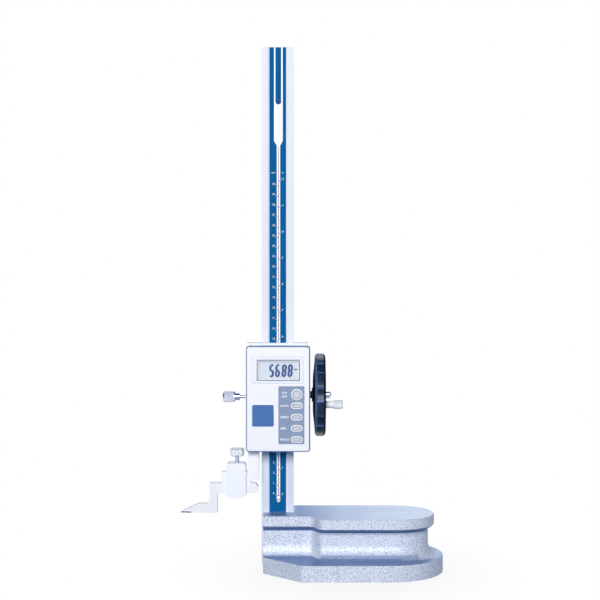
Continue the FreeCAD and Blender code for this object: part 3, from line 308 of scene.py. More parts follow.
def ground_finish(name, axis, span, stops, streak=GROUND_STREAK, metal=0.92, specular=0.5):
    """Ground metal with fine streaks, whose tone follows the stops (place, tone) along an axis. On the
    base's top and underside, its ledge and the beam, that tone is painted shade.

    Places and the span that the tones cover are in metres."""
    material, tree, shader = shader_of(name)
    streaks = grain_of(tree, *STREAKS)
    clouds = grain_of(tree, *CLOUDS)
    mix = tree.nodes.new("ShaderNodeMix")
    mix.inputs["Factor"].default_value = 0.5
    tree.links.new(streaks, mix.inputs["A"])
    tree.links.new(clouds, mix.inputs["B"])
    shade = ramp_of(tree, mix.outputs["Result"], [(STREAK_DARK, streak), (STREAK_LIGHT, (1, 1, 1, 1))])
    axes = tree.nodes.new("ShaderNodeSeparateXYZ")
    tree.links.new(place_on(tree), axes.inputs[0])
    along = range_of(tree, axes.outputs[axis], (0.0, 1.0), (0.0, span))
    painted_shading = ramp_of(tree, along, [(place / span, tone(*colour)) for place, colour in stops])
    streaked = tree.nodes.new("ShaderNodeMix")
    streaked.data_type = "RGBA"
    streaked.blend_type = "MULTIPLY"
    streaked.inputs["Factor"].default_value = 1.0
    tree.links.new(painted_shading, streaked.inputs["A"])
    tree.links.new(shade, streaked.inputs["B"])
    dress(tree, shader, streaked.outputs["Result"], range_of(tree, streaks, GROUND_ROUGH), metal, specular)
    bump_of(tree, streaks, shader, *GROUND_RELIEF)
    return material


CLEAR_HAZE = 40
CLEAR_TONES = [(0.3, tone(226, 236, 246)), (0.7, tone(238, 244, 250))]
CLEAR_ROUGH = (0.03, 0.06)
CLEAR_SPECULAR = 0.2
CLEAR_ALPHA = 0.05


def clear_finish(name):
    """Clear window pane: mostly see-through, with a faint gloss of its own."""
    material, tree, shader = shader_of(name)
    haze = grain_of(tree, EVEN, CLEAR_HAZE)
    colour = ramp_of(tree, haze, CLEAR_TONES)
    dress(tree, shader, colour, range_of(tree, haze, CLEAR_ROUGH), 0.0, CLEAR_SPECULAR)
    shader.inputs["Alpha"].default_value = CLEAR_ALPHA
    return material


# name: light tone, dark tone, grain per metre, stretch, roughness range, metal, relief, and where they
# aren't the usual ones, specular level and depth of the relief in metres
PLAIN_FINISHES = {
    # painted highlight on the beam's slanted bevel faces
    "groove_steel": ((250, 251, 255), (240, 243, 250), 260, (6, 6, 0.25), (0.45, 0.55), 0.0, 0.08),
    "stirrup_steel": ((234, 239, 248), (226, 232, 243), 240, (0.5, 4, 4), (0.32, 0.44), 0.20, 0.08),
    "scriber_steel": ((246, 248, 252), (238, 242, 250), 240, (0.5, 4, 4), (0.36, 0.48), 0.0, 0.08, 0.3),
    # lighter copy of the steel: painted highlight on the clamp knob
    "knob_steel": ((240, 244, 251), (222, 229, 241), 400, (1, 1, 1), (0.16, 0.26), 0.55, 0.05),
    "knurl_light": ((244, 247, 252), (226, 232, 243), 500, (1, 1, 1), (0.26, 0.38), 0.50, 0.06),
    "bright_steel": ((192, 202, 224), (168, 180, 208), 300, (2, 6, 6), (0.12, 0.20), 1.0, 0.04),
    # darker copy of the bright steel: painted shade for the lock stud's dark reflections
    "stud_steel": ((154, 167, 198), (130, 144, 180), 300, (2, 6, 6), (0.12, 0.20), 1.0, 0.04),
    "knurl_steel": ((248, 250, 254), (226, 232, 243), 500, (1, 1, 1), (0.22, 0.34), 0.70, 0.06),
    "black_steel": ((46, 48, 56), (28, 30, 36), 600, (1, 1, 1), (0.34, 0.50), 0.60, 0.12),
    "rack_steel": ((168, 174, 188), (138, 145, 162), 400, (6, 1, 1), (0.28, 0.42), 0.95, 0.10),
    "scale_blue": ((18, 99, 157), (14, 92, 149), 90, (1, 1, 0.3), (0.40, 0.50), 0.0, 0.05, 0.0),
    "gib_brass": ((206, 178, 112), (176, 146, 84), 300, (1, 1, 4), (0.30, 0.44), 1.0, 0.10),
    "white_plastic": ((243, 246, 251), (239, 243, 249), 900, (1, 1, 1), (0.42, 0.52), 0.0, 0.10),
    # painted shade on the display housing's front bevel, and darker painted shade at its top and right
    "edge_blue": ((160, 176, 208), (150, 168, 202), 700, (1, 1, 1), (0.40, 0.50), 0.0, 0.05, 0.2),
    "edge_navy": ((124, 146, 186), (114, 136, 178), 700, (1, 1, 1), (0.40, 0.50), 0.0, 0.05, 0.2),
    "surround_white": ((240, 243, 250), (235, 239, 247), 900, (1, 1, 1), (0.42, 0.52), 0.0, 0.10),
    # painted shade on the border strip round the window surround
    "surround_line": ((222, 227, 240), (216, 222, 236), 900, (1, 1, 1), (0.42, 0.52), 0.0, 0.10),
    "bezel_white": ((252, 253, 255), (246, 248, 252), 700, (1, 1, 1), (0.32, 0.42), 0.0, 0.08),
    "key_white": ((214, 218, 230), (196, 202, 220), 700, (1, 1, 1), (0.34, 0.44), 0.0, 0.08),
    # painted shade on the keys' front bevels
    "key_edge": ((100, 108, 142), (86, 96, 130), 700, (1, 1, 1), (0.40, 0.50), 0.0, 0.08, 0.2),
    "keypad_grey": ((152, 168, 196), (122, 142, 176), 900, (1, 1, 1), (0.46, 0.56), 0.0, 0.08, 0.2),
    "cover_blue": ((70, 116, 178), (64, 110, 172), 420, (1, 1, 1), (0.40, 0.50), 0.0, 0.08, 0.2),
    "lcd_glass": ((224, 234, 242), (214, 226, 236), 26, (1, 1, 1), (0.20, 0.28), 0.0, 0.02, 0.2),
    "frame_grey": ((104, 116, 152), (90, 102, 140), 500, (1, 1, 1), (0.40, 0.50), 0.0, 0.05, 0.2),
    "lcd_ink": ((0, 72, 160), (0, 62, 148), 300, (1, 1, 1), (0.44, 0.54), 0.0, 0.02, 0.1),
    "print_white": ((252, 253, 255), (246, 248, 252), 400, (1, 1, 1), (0.44, 0.52), 0.0, 0.02, 0.2),
    "print_blue": ((30, 90, 156), (20, 80, 146), 400, (1, 1, 1), (0.44, 0.54), 0.0, 0.02, 0.1),
    "wheel_black": ((26, 44, 76), (12, 24, 48), 260, (1, 1, 1), (0.20, 0.32), 0.0, 0.06, 0.24),
    # painted highlight on the rounded corners of the wheel's lobes
    "wheel_gleam": ((58, 88, 138), (46, 74, 120), 260, (1, 1, 1), (0.26, 0.36), 0.0, 0.04, 0.3),
    "wheel_side": ((20, 28, 42), (10, 15, 26), 260, (1, 1, 1), (0.55, 0.70), 0.0, 0.06, 0.05),
    # painted highlight on the wheel rim's chamfer that faces left
    "wheel_rim_edge": ((86, 108, 156), (68, 90, 138), 260, (1, 1, 1), (0.30, 0.42), 0.0, 0.06, 0.2),
    "carbide_dark": ((92, 94, 112), (70, 72, 92), 500, (1, 1, 1), (0.28, 0.40), 0.9, 0.06),
    "dark_plastic": ((44, 46, 54), (34, 36, 42), 500, (1, 1, 1), (0.44, 0.54), 0.0, 0.08),
    "board_green": ((36, 104, 70), (28, 88, 58), 320, (1, 1, 1), (0.36, 0.48), 0.0, 0.06),
    "foam_black": ((40, 40, 42), (26, 26, 28), 900, (1, 1, 1), (0.80, 0.92), 0.0, 0.40, 0.5, 0.0003),
}

# name: tones of a dimple's crown, flank and foot
HAMMERED_FINISHES = {
    "hammered_paint": ((239, 243, 250), (212, 221, 238), (146, 167, 204)),
    # painted shade under the base's rim, where it turns down to the groove
    "shaded_paint": ((120, 150, 196), (100, 130, 178), (78, 104, 152)),
    # painted shade in the groove's foot, in two steps, darker on the flatter faces
    "deep_paint": ((188, 204, 230), (164, 182, 214), (126, 148, 188)),
    "foot_paint": ((150, 172, 208), (126, 150, 190), (98, 122, 164)),
}

# name: axis, span, tones along it, and where they aren't the usual ones, streaks, metal and specular
GROUND_FINISHES = {
    # ground top and underside: painted shade along x, darkest just beside the beam, lighter towards the
    # right end
    "ground_steel": ("X", 0.16, [
        (0.0, (178, 192, 214)), (0.016, (168, 182, 208)), (0.020, (126, 148, 190)),
        (0.06, (190, 202, 222)), (0.13, (222, 229, 240))]),
    # ledge: painted shade, darker along most of it and lighter towards its right end
    "ledge_steel": ("X", 0.16, [(0.115, (130, 154, 192)), (0.155, (168, 184, 212))]),
    # beam: painted shade along z, darker towards the bottom
    "satin_steel": ("Z", 0.3, [(0.10, (216, 225, 240)), (0.23, (231, 235, 246))], SATIN_STREAK, 0.0, 0.1),
    "plate_steel": ("Z", 0.3, [(0.11, (242, 246, 251)), (0.20, (222, 229, 241))], SATIN_STREAK, 0.05, 0.2),
}

finishes = {name: plain_finish(name, *values) for name, values in PLAIN_FINISHES.items()}
for name, tones in HAMMERED_FINISHES.items():
    finishes[name] = hammered_finish(name, *tones)
for name, values in GROUND_FINISHES.items():
    finishes[name] = ground_finish(name, *values)
finishes["window_clear"] = clear_finish("window_clear")

WHEEL_GLOSS = (0.70, 0.86, 1.0, 1)
for name in ("wheel_black", "wheel_gleam"):
    shader = finishes[name].node_tree.nodes["Principled BSDF"]
    shader.inputs["Specular Tint"].default_value = WHEEL_GLOSS

NODE_FINISH = {
    "base_casting": "hammered_paint", "beam": "satin_steel", "scale_strip": "scale_blue",
    "rack_strip": "rack_steel", "pinion": "rack_steel",
    "beam_screws": "black_steel", "rack_screws": "black_steel", "stop_screw": "black_steel",
    "gib_screws": "black_steel", "plate_screws": "black_steel", "gear_case_screws": "black_steel",
    "display_screws": "black_steel",
    "slider_frame": "plate_steel", "rear_plate": "plate_steel", "gear_case": "hammered_paint",
    "gib_strip": "gib_brass", "shaft_bushes": "gib_brass",
    "display_housing": "white_plastic", "display_window": "window_clear", "lcd_panel": "lcd_glass",
    "lcd_carrier": "dark_plastic", "circuit_board": "board_green", "board_spacers": "foam_black",
    "sensor_board": "board_green", "key_switches": "dark_plastic", "keypad_panel": "keypad_grey",
    "button_bezels": "bezel_white", "battery_cover": "cover_blue", "battery": "bright_steel",
    "battery_holder": "dark_plastic", "lock_screw": "bright_steel", "handwheel": "wheel_black",
    "wheel_shaft": "wheel_side", "wheel_nut": "bright_steel", "crank_pin": "bright_steel",
    "crank_handle": "scriber_steel", "scriber": "scriber_steel", "carbide_tip": "carbide_dark",
    "clamp_stirrup": "stirrup_steel", "clamp_pad": "plate_steel", "clamp_screw": "bright_steel",
    "on_off_button": "key_white", "unit_button": "key_white", "zero_button": "key_white",
    "abs_button": "key_white", "hold_button": "key_white",
}

for node, finish in NODE_FINISH.items():
    slots = frame["nodes"][node].data.materials
    slots.clear()
    slots.append(finishes[finish])


# Second finishes on some faces of a node, picked by their middle, place, and their direction, way

def touch_up(node, finish, wanted):
    """Gives the faces of a node that wanted picks another finish."""
    mesh = frame["nodes"][node].data
    mesh.materials.append(finishes[finish])
    for face in mesh.polygons:
        if wanted(face.center, face.normal):
            face.material_index = len(mesh.materials) - 1


def bevelled(share):
    """Whether a face leans as a bevel does, by one part of its direction."""
    return BEVEL[0] < share < BEVEL[1]


def level_at(height):
    """Picks the level faces at a height."""
    return lambda place, way: abs(way.z) > LEVEL and abs(place.z - height * MM) < LEVEL_PLAY * MM


def rim_underside(place, way):
    """Picks the faces of the base's rim that turn down to the finger groove."""
    return RIM_UNDERSIDE[0] < way.z < RIM_UNDERSIDE[1] and place.z > RIM_FOOT * MM


def groove_foot(slope, end):
    """Picks the rounded faces at the groove's foot that are flatter than slope, as far as end."""
    def wanted(place, way):
        low = GROOVE_FOOT[0] * MM < place.z < GROOVE_FOOT[1] * MM
        return low and slope < way.z < NOT_LEVEL and place.x < end * MM
    return wanted


def front_bevel(place, way):
    return bevelled(-way.y)


def dark_bevel(place, way):
    """Picks the front bevel at the top and on the right."""
    return bevelled(-way.y) and max(way.x, way.z) > BEVEL[0]


def clamp_knob(place, way):
    x, y, _ = axis_of("clamp_turn")
    out = math.hypot(place.x - x * MM, place.y - y * MM)
    return place.z > CLAMP_KNOB_FOOT * MM and out > CLAMP_STUD_RADIUS * MM


def lobe_corner(place, way):
    """Picks the rounded corners of the lobes on the wheel's rim."""
    _, y, z = axis_of("wheel_spin")
    out = Vector((0, place.y - y * MM, place.z - z * MM))
    on_lobe = abs(way.x) < BEVEL[0] and out.length > LOBE_INSIDE * MM
    return on_lobe and out.normalized().dot(way) < LOBE_TREAD


# The base's top and underside are ground after the paint, and their tone is painted shade: darkest beside
# the beam, lighter towards the right end. The ledge is ground too, with painted shade that is darker along
# most of it and lighter at its right end. The paint gets painted shade where the rim turns down, and in two
# steps in the groove's foot.
touch_up("base_casting", "ground_steel", level_at(0.0))
touch_up("base_casting", "ground_steel", level_at(BASE_TOP))
touch_up("base_casting", "ledge_steel", level_at(LEDGE))
# Painted shade: the rim's down-turned faces get a darker copy of the paint.
touch_up("base_casting", "shaded_paint", rim_underside)
# Painted shade in the groove's foot: flatter faces get darker copies of the paint.
touch_up("base_casting", "deep_paint", groove_foot(GROOVE_SHADE_SLOPE, GROOVE_SHADE_END))
touch_up("base_casting", "foot_paint", groove_foot(DEEP_SHADE_SLOPE, DEEP_SHADE_END))
# Painted shade on the housing's front bevel draws the line round the display: bluish all round, darker at
# the top and on the right.
touch_up("display_housing", "edge_blue", front_bevel)
touch_up("display_housing", "edge_navy", dark_bevel)
# Painted highlight: the clamp knob gets a lighter copy of the screw's steel.
touch_up("clamp_screw", "knob_steel", clamp_knob)
# Painted shade: the lock screw's stud gets a darker copy of its steel.
touch_up("lock_screw", "stud_steel", lambda place, way: place.x > LOCK_HEAD_END * MM)
# Painted highlight: the beam's slanted faces that turn to the front are near white.
touch_up("beam", "groove_steel", lambda place, way: bevelled(abs(way.x)) and way.y < -BEVEL[0])
touch_up("handwheel", "wheel_side", lambda place, way: abs(way.x) > BEVEL[1] or bevelled(way.x))
# Painted highlight: the rim's chamfer facing left is a lighter blue.
touch_up("handwheel", "wheel_rim_edge", lambda place, way: bevelled(-way.x))
# Painted highlight: the lobes' rounded corners get a lighter, glossier blue.
touch_up("handwheel", "wheel_gleam", lobe_corner)
# Painted shade: each key's front bevel is a dark ring.
for key in ("on_off_button", "unit_button", "zero_button", "abs_button", "hold_button"):
    touch_up(key, "key_edge", front_bevel)


# Modelling helpers

SELECT_MODES = {"vertices": "VERT", "edges": "EDGE", "polygons": "FACE"}
# steps of a letter's curve and of a ring's corner, and sides of a round end
LETTER_STEPS = 3
CORNER_STEPS = 5
ROUND_SIDES = 32


def start_clean():
    """Leaves edit mode and deselects every object."""
    if bpy.context.mode != "OBJECT":
        bpy.ops.object.mode_set(mode="OBJECT")
    bpy.ops.object.select_all(action="DESELECT")


def active_piece():
    return bpy.context.view_layer.objects.active


def set_place():
    """Puts the active object's place, turn and scale into its mesh."""
    bpy.ops.object.transform_apply(location=True, rotation=True, scale=True)


def edit_all():
    """Opens the active mesh for editing, all selected."""
    bpy.ops.object.mode_set(mode="EDIT")
    bpy.ops.mesh.select_all(action="SELECT")


def edit_some(kind, wanted):
    """Opens the active mesh for editing with only the wanted vertices, edges or polygons selected."""
    bpy.ops.object.mode_set(mode="EDIT")
    bpy.ops.mesh.select_mode(type=SELECT_MODES[kind])
    bpy.ops.mesh.select_all(action="DESELECT")
    bpy.ops.object.mode_set(mode="OBJECT")
    for element in getattr(active_piece().data, kind):
        element.select = wanted(element)
    bpy.ops.object.mode_set(mode="EDIT")


def end_edit():
    bpy.ops.mesh.select_mode(type="VERT")
    bpy.ops.object.mode_set(mode="OBJECT")


def settle(name, finish):
    """Names the active object, gives it its finish and puts its place into its mesh."""
    piece = active_piece()
    set_place()
    piece.name = name
    piece.data.name = name
    piece.data.materials.clear()
    piece.data.materials.append(finishes[finish])
    return piece


def add_bar(x0, x1, y0, y1, z0, z1, turn=0.0):
    """Straight bar between two corners, turned about Y by turn degrees."""
    start_clean()
    middle = ((x0 + x1) / 2 * MM, (y0 + y1) / 2 * MM, (z0 + z1) / 2 * MM)
    size = ((x1 - x0) * MM, (y1 - y0) * MM, (z1 - z0) * MM)
    bpy.ops.mesh.primitive_cube_add(
        size=1, location=middle, scale=size, rotation=(0, math.radians(turn), 0))
    set_place()
    return active_piece()


def repeat_up(piece, count, step):
    """Repeats a piece upwards at a constant step."""
    bpy.context.view_layer.objects.active = piece
    array = piece.modifiers.new("repeat", "ARRAY")
    array.count = count
    array.use_relative_offset = False
    array.use_constant_offset = True
    array.constant_offset_displace = (0, 0, step * MM)
    bpy.ops.object.modifier_apply(modifier=array.name)
    return piece


def join_pieces(pieces, name, finish):
    """Joins pieces into one with a name and a finish."""
    start_clean()
    for piece in pieces:
        piece.select_set(True)
    bpy.context.view_layer.objects.active = pieces[0]
    if len(pieces) > 1:
        bpy.ops.object.join()
    return settle(name, finish)


def add_word(text, x, y, z, size, spacing=1.0, weight=0.0):
    """Flat lettering that faces the reader, as a mesh."""
    start_clean()
    bpy.ops.object.text_add(location=(x * MM, y * MM, z * MM), rotation=FACING_FRONT)
    word = active_piece()
    word.data.body = text
    word.data.size = size * MM
    word.data.space_character = spacing
    word.data.offset = weight * MM
    word.data.align_x = "CENTER"
    word.data.align_y = "CENTER"
    word.data.extrude = INK / 2 * MM
    word.data.resolution_u = LETTER_STEPS
    bpy.ops.object.convert(target="MESH")
    return active_piece()


def front_sheet(area, y):
    """Flat sheet over an area, which faces the reader."""
    x0, x1, z0, z1 = area
    start_clean()
    middle = ((x0 + x1) / 2 * MM, y * MM, (z0 + z1) / 2 * MM)
    bpy.ops.mesh.primitive_plane_add(size=1, location=middle, rotation=FACING_FRONT)
    active_piece().scale = ((x1 - x0) * MM, (z1 - z0) * MM, 1)
    set_place()


def thicken(depth):
    """Gives the active sheet its thickness."""
    sheet = active_piece()
    wall = sheet.modifiers.new("wall", "SOLIDIFY")
    wall.thickness = depth * MM
    wall.offset = 1
    bpy.ops.object.modifier_apply(modifier=wall.name)
    return sheet


def frame_ring(area, border, y_back, y_front, corner):
    """Flat ring round an opening: a sheet inset, its middle taken out, then given a thickness."""
    front_sheet(area, y_back)
    edit_all()
    bpy.ops.mesh.bevel(offset=corner * MM, segments=CORNER_STEPS, affect="VERTICES")
    bpy.ops.mesh.select_all(action="SELECT")
    bpy.ops.mesh.inset(thickness=border * MM)
    bpy.ops.mesh.delete(type="FACE")
    bpy.ops.object.mode_set(mode="OBJECT")
    return thicken(y_back - y_front)


def faced_plate(area, opening, y_back, y_front, border):
    """Plate with a rectangular opening; a border strip is marked off round its outside."""
    front_sheet(area, y_back)
    edit_all()
    bpy.ops.mesh.inset(thickness=border * MM)
    x0, x1, z0, z1 = (value * MM for value in opening)
    for place, way in (((x0, 0, 0), (1, 0, 0)), ((x1, 0, 0), (1, 0, 0)),
                       ((0, 0, z0), (0, 0, 1)), ((0, 0, z1), (0, 0, 1))):
        bpy.ops.mesh.select_all(action="SELECT")
        bpy.ops.mesh.bisect(plane_co=place, plane_no=way)
    edit_some("polygons", lambda face: within(opening, face.center))
    bpy.ops.mesh.delete(type="FACE")
    end_edit()
    return thicken(y_back - y_front)


# Knurled grips

NEAR = 1e-6
SAME = 1e-7
SEAM = 0.02


def diamond_sheet(width, height, pitch, rise):
    """Upright sheet of raised diamonds: a grid's squares are crossed, and their sides dissolved."""
    start_clean()
    bpy.ops.mesh.primitive_grid_add(
        x_subdivisions=round(width / pitch), y_subdivisions=round(height / pitch), size=1)
    sheet = active_piece()
    sheet.scale = (width * MM, height * MM, 1)
    sheet.rotation_euler = FACING_FRONT
    set_place()
    edit_all()
    bpy.ops.mesh.poke(offset=0)
    half_x, half_z = width / 2 * MM - NEAR, height / 2 * MM - NEAR

    def square_side(edge):
        a, b = (sheet.data.vertices[i].co for i in edge.vertices)
        middle = (a + b) / 2
        straight = abs(a.x - b.x) < SAME or abs(a.z - b.z) < SAME
        return straight and abs(middle.x) < half_x and abs(middle.z) < half_z

    edit_some("edges", square_side)
    bpy.ops.mesh.dissolve_edges(use_verts=False)
    bpy.ops.mesh.select_all(action="SELECT")
    bpy.ops.mesh.poke(offset=rise * MM)
    end_edit()
    return sheet


def roll_up(sheet):
    """Bends a sheet into a tube round the upright axis."""
    bend = sheet.modifiers.new("bend", "SIMPLE_DEFORM")
    bend.deform_method = "BEND"
    bend.deform_axis = "Z"
    bend.angle = math.radians(360)
    bpy.ops.object.modifier_apply(modifier=bend.name)


def close_end(height):
    """Sews up the active tube and closes its end at a height."""
    edit_all()
    bpy.ops.mesh.remove_doubles(threshold=SEAM * MM)
    edit_some("vertices", lambda vertex: abs(vertex.co.z - height) < NEAR)
    bpy.ops.mesh.edge_face_add()


def knurled_drum(name, radius, ends, joint, pitch, rise, finish):
    """Sleeve of small raised diamonds from x to x, round the axis of a joint."""
    length = ends[1] - ends[0]
    drum = diamond_sheet(2 * math.pi * radius, length, pitch, rise)
    roll_up(drum)
    for side in (-1, 1):
        close_end(side * length / 2 * MM)
    bpy.ops.mesh.select_all(action="SELECT")
    bpy.ops.mesh.normals_make_consistent(inside=False)
    bpy.ops.object.mode_set(mode="OBJECT")
    depths = [vertex.co.y for vertex in drum.data.vertices]
    drum.location = (0, -(min(depths) + max(depths)) / 2, 0)
    set_place()
    _, y, z = axis_of(joint)
    drum.rotation_euler = (0, math.radians(90), 0)
    drum.location = ((ends[0] + ends[1]) / 2 * MM, y * MM, z * MM)
    return settle(name, finish)


# Printed scale

def stripe(sides, low, high):
    """White stripe from x to x."""
    return add_bar(*sides, PRINT_FACE, STRIP_FACE, low, high)


def band_end(sides, z, face):
    """Round end of a stripe, as a thin disc."""
    start_clean()
    radius = (sides[1] - sides[0]) / 2
    middle = ((sides[0] + sides[1]) / 2 * MM, (face + INK / 2) * MM, z * MM)
    bpy.ops.mesh.primitive_cylinder_add(
        vertices=ROUND_SIDES, radius=radius * MM, depth=INK * MM, location=middle, rotation=FACING_FRONT)
    set_place()
    return active_piece()


def pocket_funnel():
    """Tapered end of the white pocket, down to the band: a bar whose lower end is drawn in."""
    sides = (STRIPE_LEFT[0], STRIPE_RIGHT[1])
    funnel = stripe(sides, BAND_TOP, POCKET_FOOT)
    edit_some("vertices", lambda vertex: vertex.co.z < (BAND_TOP + POCKET_FOOT) / 2 * MM)
    share = (BAND[1] - BAND[0]) / (sides[1] - sides[0])
    pivot = ((BAND[0] + BAND[1]) / 2 * MM, STRIP_FACE * MM, BAND_TOP * MM)
    bpy.ops.transform.resize(value=(share, 1, 1), center_override=pivot)
    bpy.ops.object.mode_set(mode="OBJECT")
    return funnel


def leader_lines(sides, turn, step, count):
    """Short slanting lines that lead from the band to the numbers."""
    line = add_bar(*sides, PRINT_FACE, STRIP_FACE, LEADER_FOOT, LEADER_TOP, turn)
    return repeat_up(line, count, step)


def white_word(text, x, z, size):
    return add_word(text, x, STRIP_FACE - INK / 2, z, size)


def numbers_up(x, lift, size, step, count):
    """Numbers from zero up, one to a step."""
    return [white_word(str(number), x, ZERO_HEIGHT + step * number + lift, size) for number in range(count)]


white_print = [
    stripe(STRIPE_LEFT, POCKET_TOP, STRIP_TOP),
    stripe(STRIPE_RIGHT, POCKET_TOP, STRIP_TOP),
    stripe((STRIPE_LEFT[0], STRIPE_RIGHT[1]), POCKET_FOOT, POCKET_TOP),
    pocket_funnel(),
    stripe(BAND, BAND_FOOT + BAND_RADIUS, BAND_TOP),
    band_end(BAND, BAND_FOOT + BAND_RADIUS, PRINT_FACE),
    leader_lines(LEFT_LEADER, LEADER_TURN, CENTIMETRE, CENTIMETRES + 1),
    leader_lines(RIGHT_LEADER, -LEADER_TURN, INCH, INCHES + 1),
]
white_print += numbers_up(*LEFT_NUMBERS, CENTIMETRE, CENTIMETRES + 1)
white_print += numbers_up(*RIGHT_NUMBERS, INCH, INCHES + 1)
white_print += [white_word("mm", *LEFT_UNIT), white_word("in", *RIGHT_UNIT)]
scale_print = join_pieces(white_print, "scale_print", "print_white")
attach(scale_print, "base")

blue_print = [
    add_bar(*TONGUE, MARK_FACE, PRINT_FACE, POCKET_TOP - TONGUE_OVERLAP, POCKET_TOP + TONGUE_OVERLAP),
    band_end(TONGUE, POCKET_TOP, MARK_FACE),
    add_bar(*CENTRE_LINE, MARK_FACE, PRINT_FACE, ZERO_HEIGHT, CENTRE_LINE_END),
]
# from x to x, line width, marks to a number, step between numbers, last number
MARKS = [
    (0.2, MARKS_END, 0.26, 10, CENTIMETRE, CENTIMETRES),
    (-0.15, MARKS_END, 0.22, 2, CENTIMETRE, CENTIMETRES),
    (BAND[0], MARKS_END, 0.55, 1, CENTIMETRE, CENTIMETRES),
    (INCH_MARKS_START, 1.5, 0.26, 10, INCH, INCHES),
    (INCH_MARKS_START, 1.9, 0.22, 2, INCH, INCHES),
    (INCH_MARKS_START, BAND[1], 0.55, 1, INCH, INCHES),
]
for left, right, width, parts, step, last in MARKS:
    foot = ZERO_HEIGHT - width / 2
    mark = add_bar(left, right, MARK_FACE, PRINT_FACE, foot, ZERO_HEIGHT + width / 2)
    blue_print.append(repeat_up(mark, parts * last + 1, step / parts))
scale_marks = join_pieces(blue_print, "scale_marks", "print_blue")
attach(scale_marks, "base")


# Display unit

def bar_segment(x, z, along, length):
    """One bar of a digit, pointed at both ends by a bevel on every edge, wider than the bar is thick."""
    half_length, half_stroke = length / 2, DIGIT_STROKE / 2
    dx, dz = (half_length, half_stroke) if along == "X" else (half_stroke, half_length)
    bar = add_bar(x - dx, x + dx, LCD_FACE - 2 * INK, LCD_FACE, z - dz, z + dz)
    edit_all()
    bpy.ops.mesh.bevel(offset=DIGIT_STROKE * SEGMENT_POINT * MM, segments=1, affect="EDGES")
    bpy.ops.object.mode_set(mode="OBJECT")
    return bar


def digit(x, lit):
    """Digit of seven bars; lit names the bars that are on."""
    run = DIGIT_WIDTH - DIGIT_STROKE
    rise = (DIGIT_HEIGHT - DIGIT_STROKE) / 2
    places = {
        "top": (0, rise, "X", run), "middle": (0, 0, "X", run), "bottom": (0, -rise, "X", run),
        "upper_left": (-run / 2, rise / 2, "Z", rise), "upper_right": (run / 2, rise / 2, "Z", rise),
        "lower_left": (-run / 2, -rise / 2, "Z", rise), "lower_right": (run / 2, -rise / 2, "Z", rise),
    }
    bars = []
    for name in lit:
        dx, dz, along, length = places[name]
        bars.append(bar_segment(x + dx, DIGIT_MIDDLE + dz, along, length * SEGMENT_LENGTH))
    return bars


FIVE = ("top", "upper_left", "middle", "lower_right", "bottom")
SIX = FIVE + ("lower_left",)
EIGHT = SIX + ("upper_right",)
reading = []
for x, lit in zip(DIGIT_PLACES, (FIVE, SIX, EIGHT, EIGHT)):
    reading += digit(x, lit)
point_foot = DIGIT_MIDDLE - DIGIT_HEIGHT / 2
point_size = POINT[1] - POINT[0]
reading.append(add_bar(*POINT, LCD_FACE - 2 * INK, LCD_FACE, point_foot, point_foot + point_size))
lcd_reading = join_pieces(reading, "lcd_reading", "lcd_ink")
slant = Matrix.Translation((0, 0, DIGIT_MIDDLE * MM))
slant = slant @ Matrix(((1, 0, DIGIT_SLANT, 0), (0, 1, 0, 0), (0, 0, 1, 0), (0, 0, 0, 1))) @ slant.inverted()
lcd_reading.data.transform(slant)
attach(lcd_reading, "slider")
unit_x, unit_z, unit_size = LCD_UNIT
unit_word = add_word("mm", unit_x, LCD_FACE - INK, unit_z, unit_size, weight=LCD_UNIT_WEIGHT)
lcd_unit = join_pieces([unit_word], "lcd_unit", "lcd_ink")
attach(lcd_unit, "slider")

window_surround = faced_plate(
    SURROUND, shrunk(WINDOW, WINDOW_LAP), HOUSING_FACE, SURROUND_FRONT, SURROUND_BORDER)
window_surround = join_pieces([window_surround], "window_surround", "surround_white")
# Painted shade: the surround's border strip, outside its inner face, is darker.
window_surround.data.materials.append(finishes["surround_line"])
for face in window_surround.data.polygons:
    if not within(shrunk(SURROUND, SURROUND_BORDER), face.center):
        face.material_index = 1
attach(window_surround, "slider")

window_frame = frame_ring(WINDOW, FRAME_BORDER, FRAME_BACK, FRAME_FRONT, FRAME_CORNER)
window_frame = join_pieces([window_frame], "window_frame", "frame_grey")
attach(window_frame, "slider")
inner_window = shrunk(WINDOW, FRAME_BORDER)
window_lip = frame_ring(inner_window, LIP_BORDER, FRAME_BACK, LIP_FRONT, LIP_CORNER)
window_lip = join_pieces([window_lip], "window_lip", "bezel_white")
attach(window_lip, "slider")

words = [
    add_word(text, x, KEYPAD_FACE - INK / 2, z, KEY_LETTERS, KEY_SPACING, KEY_WEIGHT)
    for text, x, z in KEY_WORDS]
key_words = join_pieces(words, "key_words", "print_white")
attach(key_words, "slider")


# Grips

lock_knurl = knurled_drum("lock_knurl", radius=5.22, ends=(-51.9, -42.7), joint="lock_turn",
                          pitch=1.15, rise=0.22, finish="knurl_steel")
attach(lock_knurl, "lock")
crank_knurl = knurled_drum("crank_knurl", radius=4.17, ends=(54.6, 62.2), joint="crank_spin",
                           pitch=0.95, rise=0.16, finish="knurl_light")
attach(crank_knurl, "crank")


# Studio, in metres and watts

LAMP_AIM = (0.03, 0, 0.2)
FRONT_SIZE = (0.7, 0.7)
REAR_SIZE = (1.2, 0.8)
KEY_LIGHT = (1.0, 0.95, 0.89)


def area_lamp(name, place, size, power, colour):
    lamp_data = bpy.data.lights.new(name, "AREA")
    lamp_data.shape = "RECTANGLE"
    lamp_data.size, lamp_data.size_y = size
    lamp_data.energy = power
    lamp_data.color = colour
    lamp = bpy.data.objects.new(name, lamp_data)
    lamp.location = place
    lamp.rotation_euler = (Vector(LAMP_AIM) - Vector(place)).to_track_quat("-Z", "Y").to_euler()
    bpy.context.scene.collection.objects.link(lamp)
    return lamp


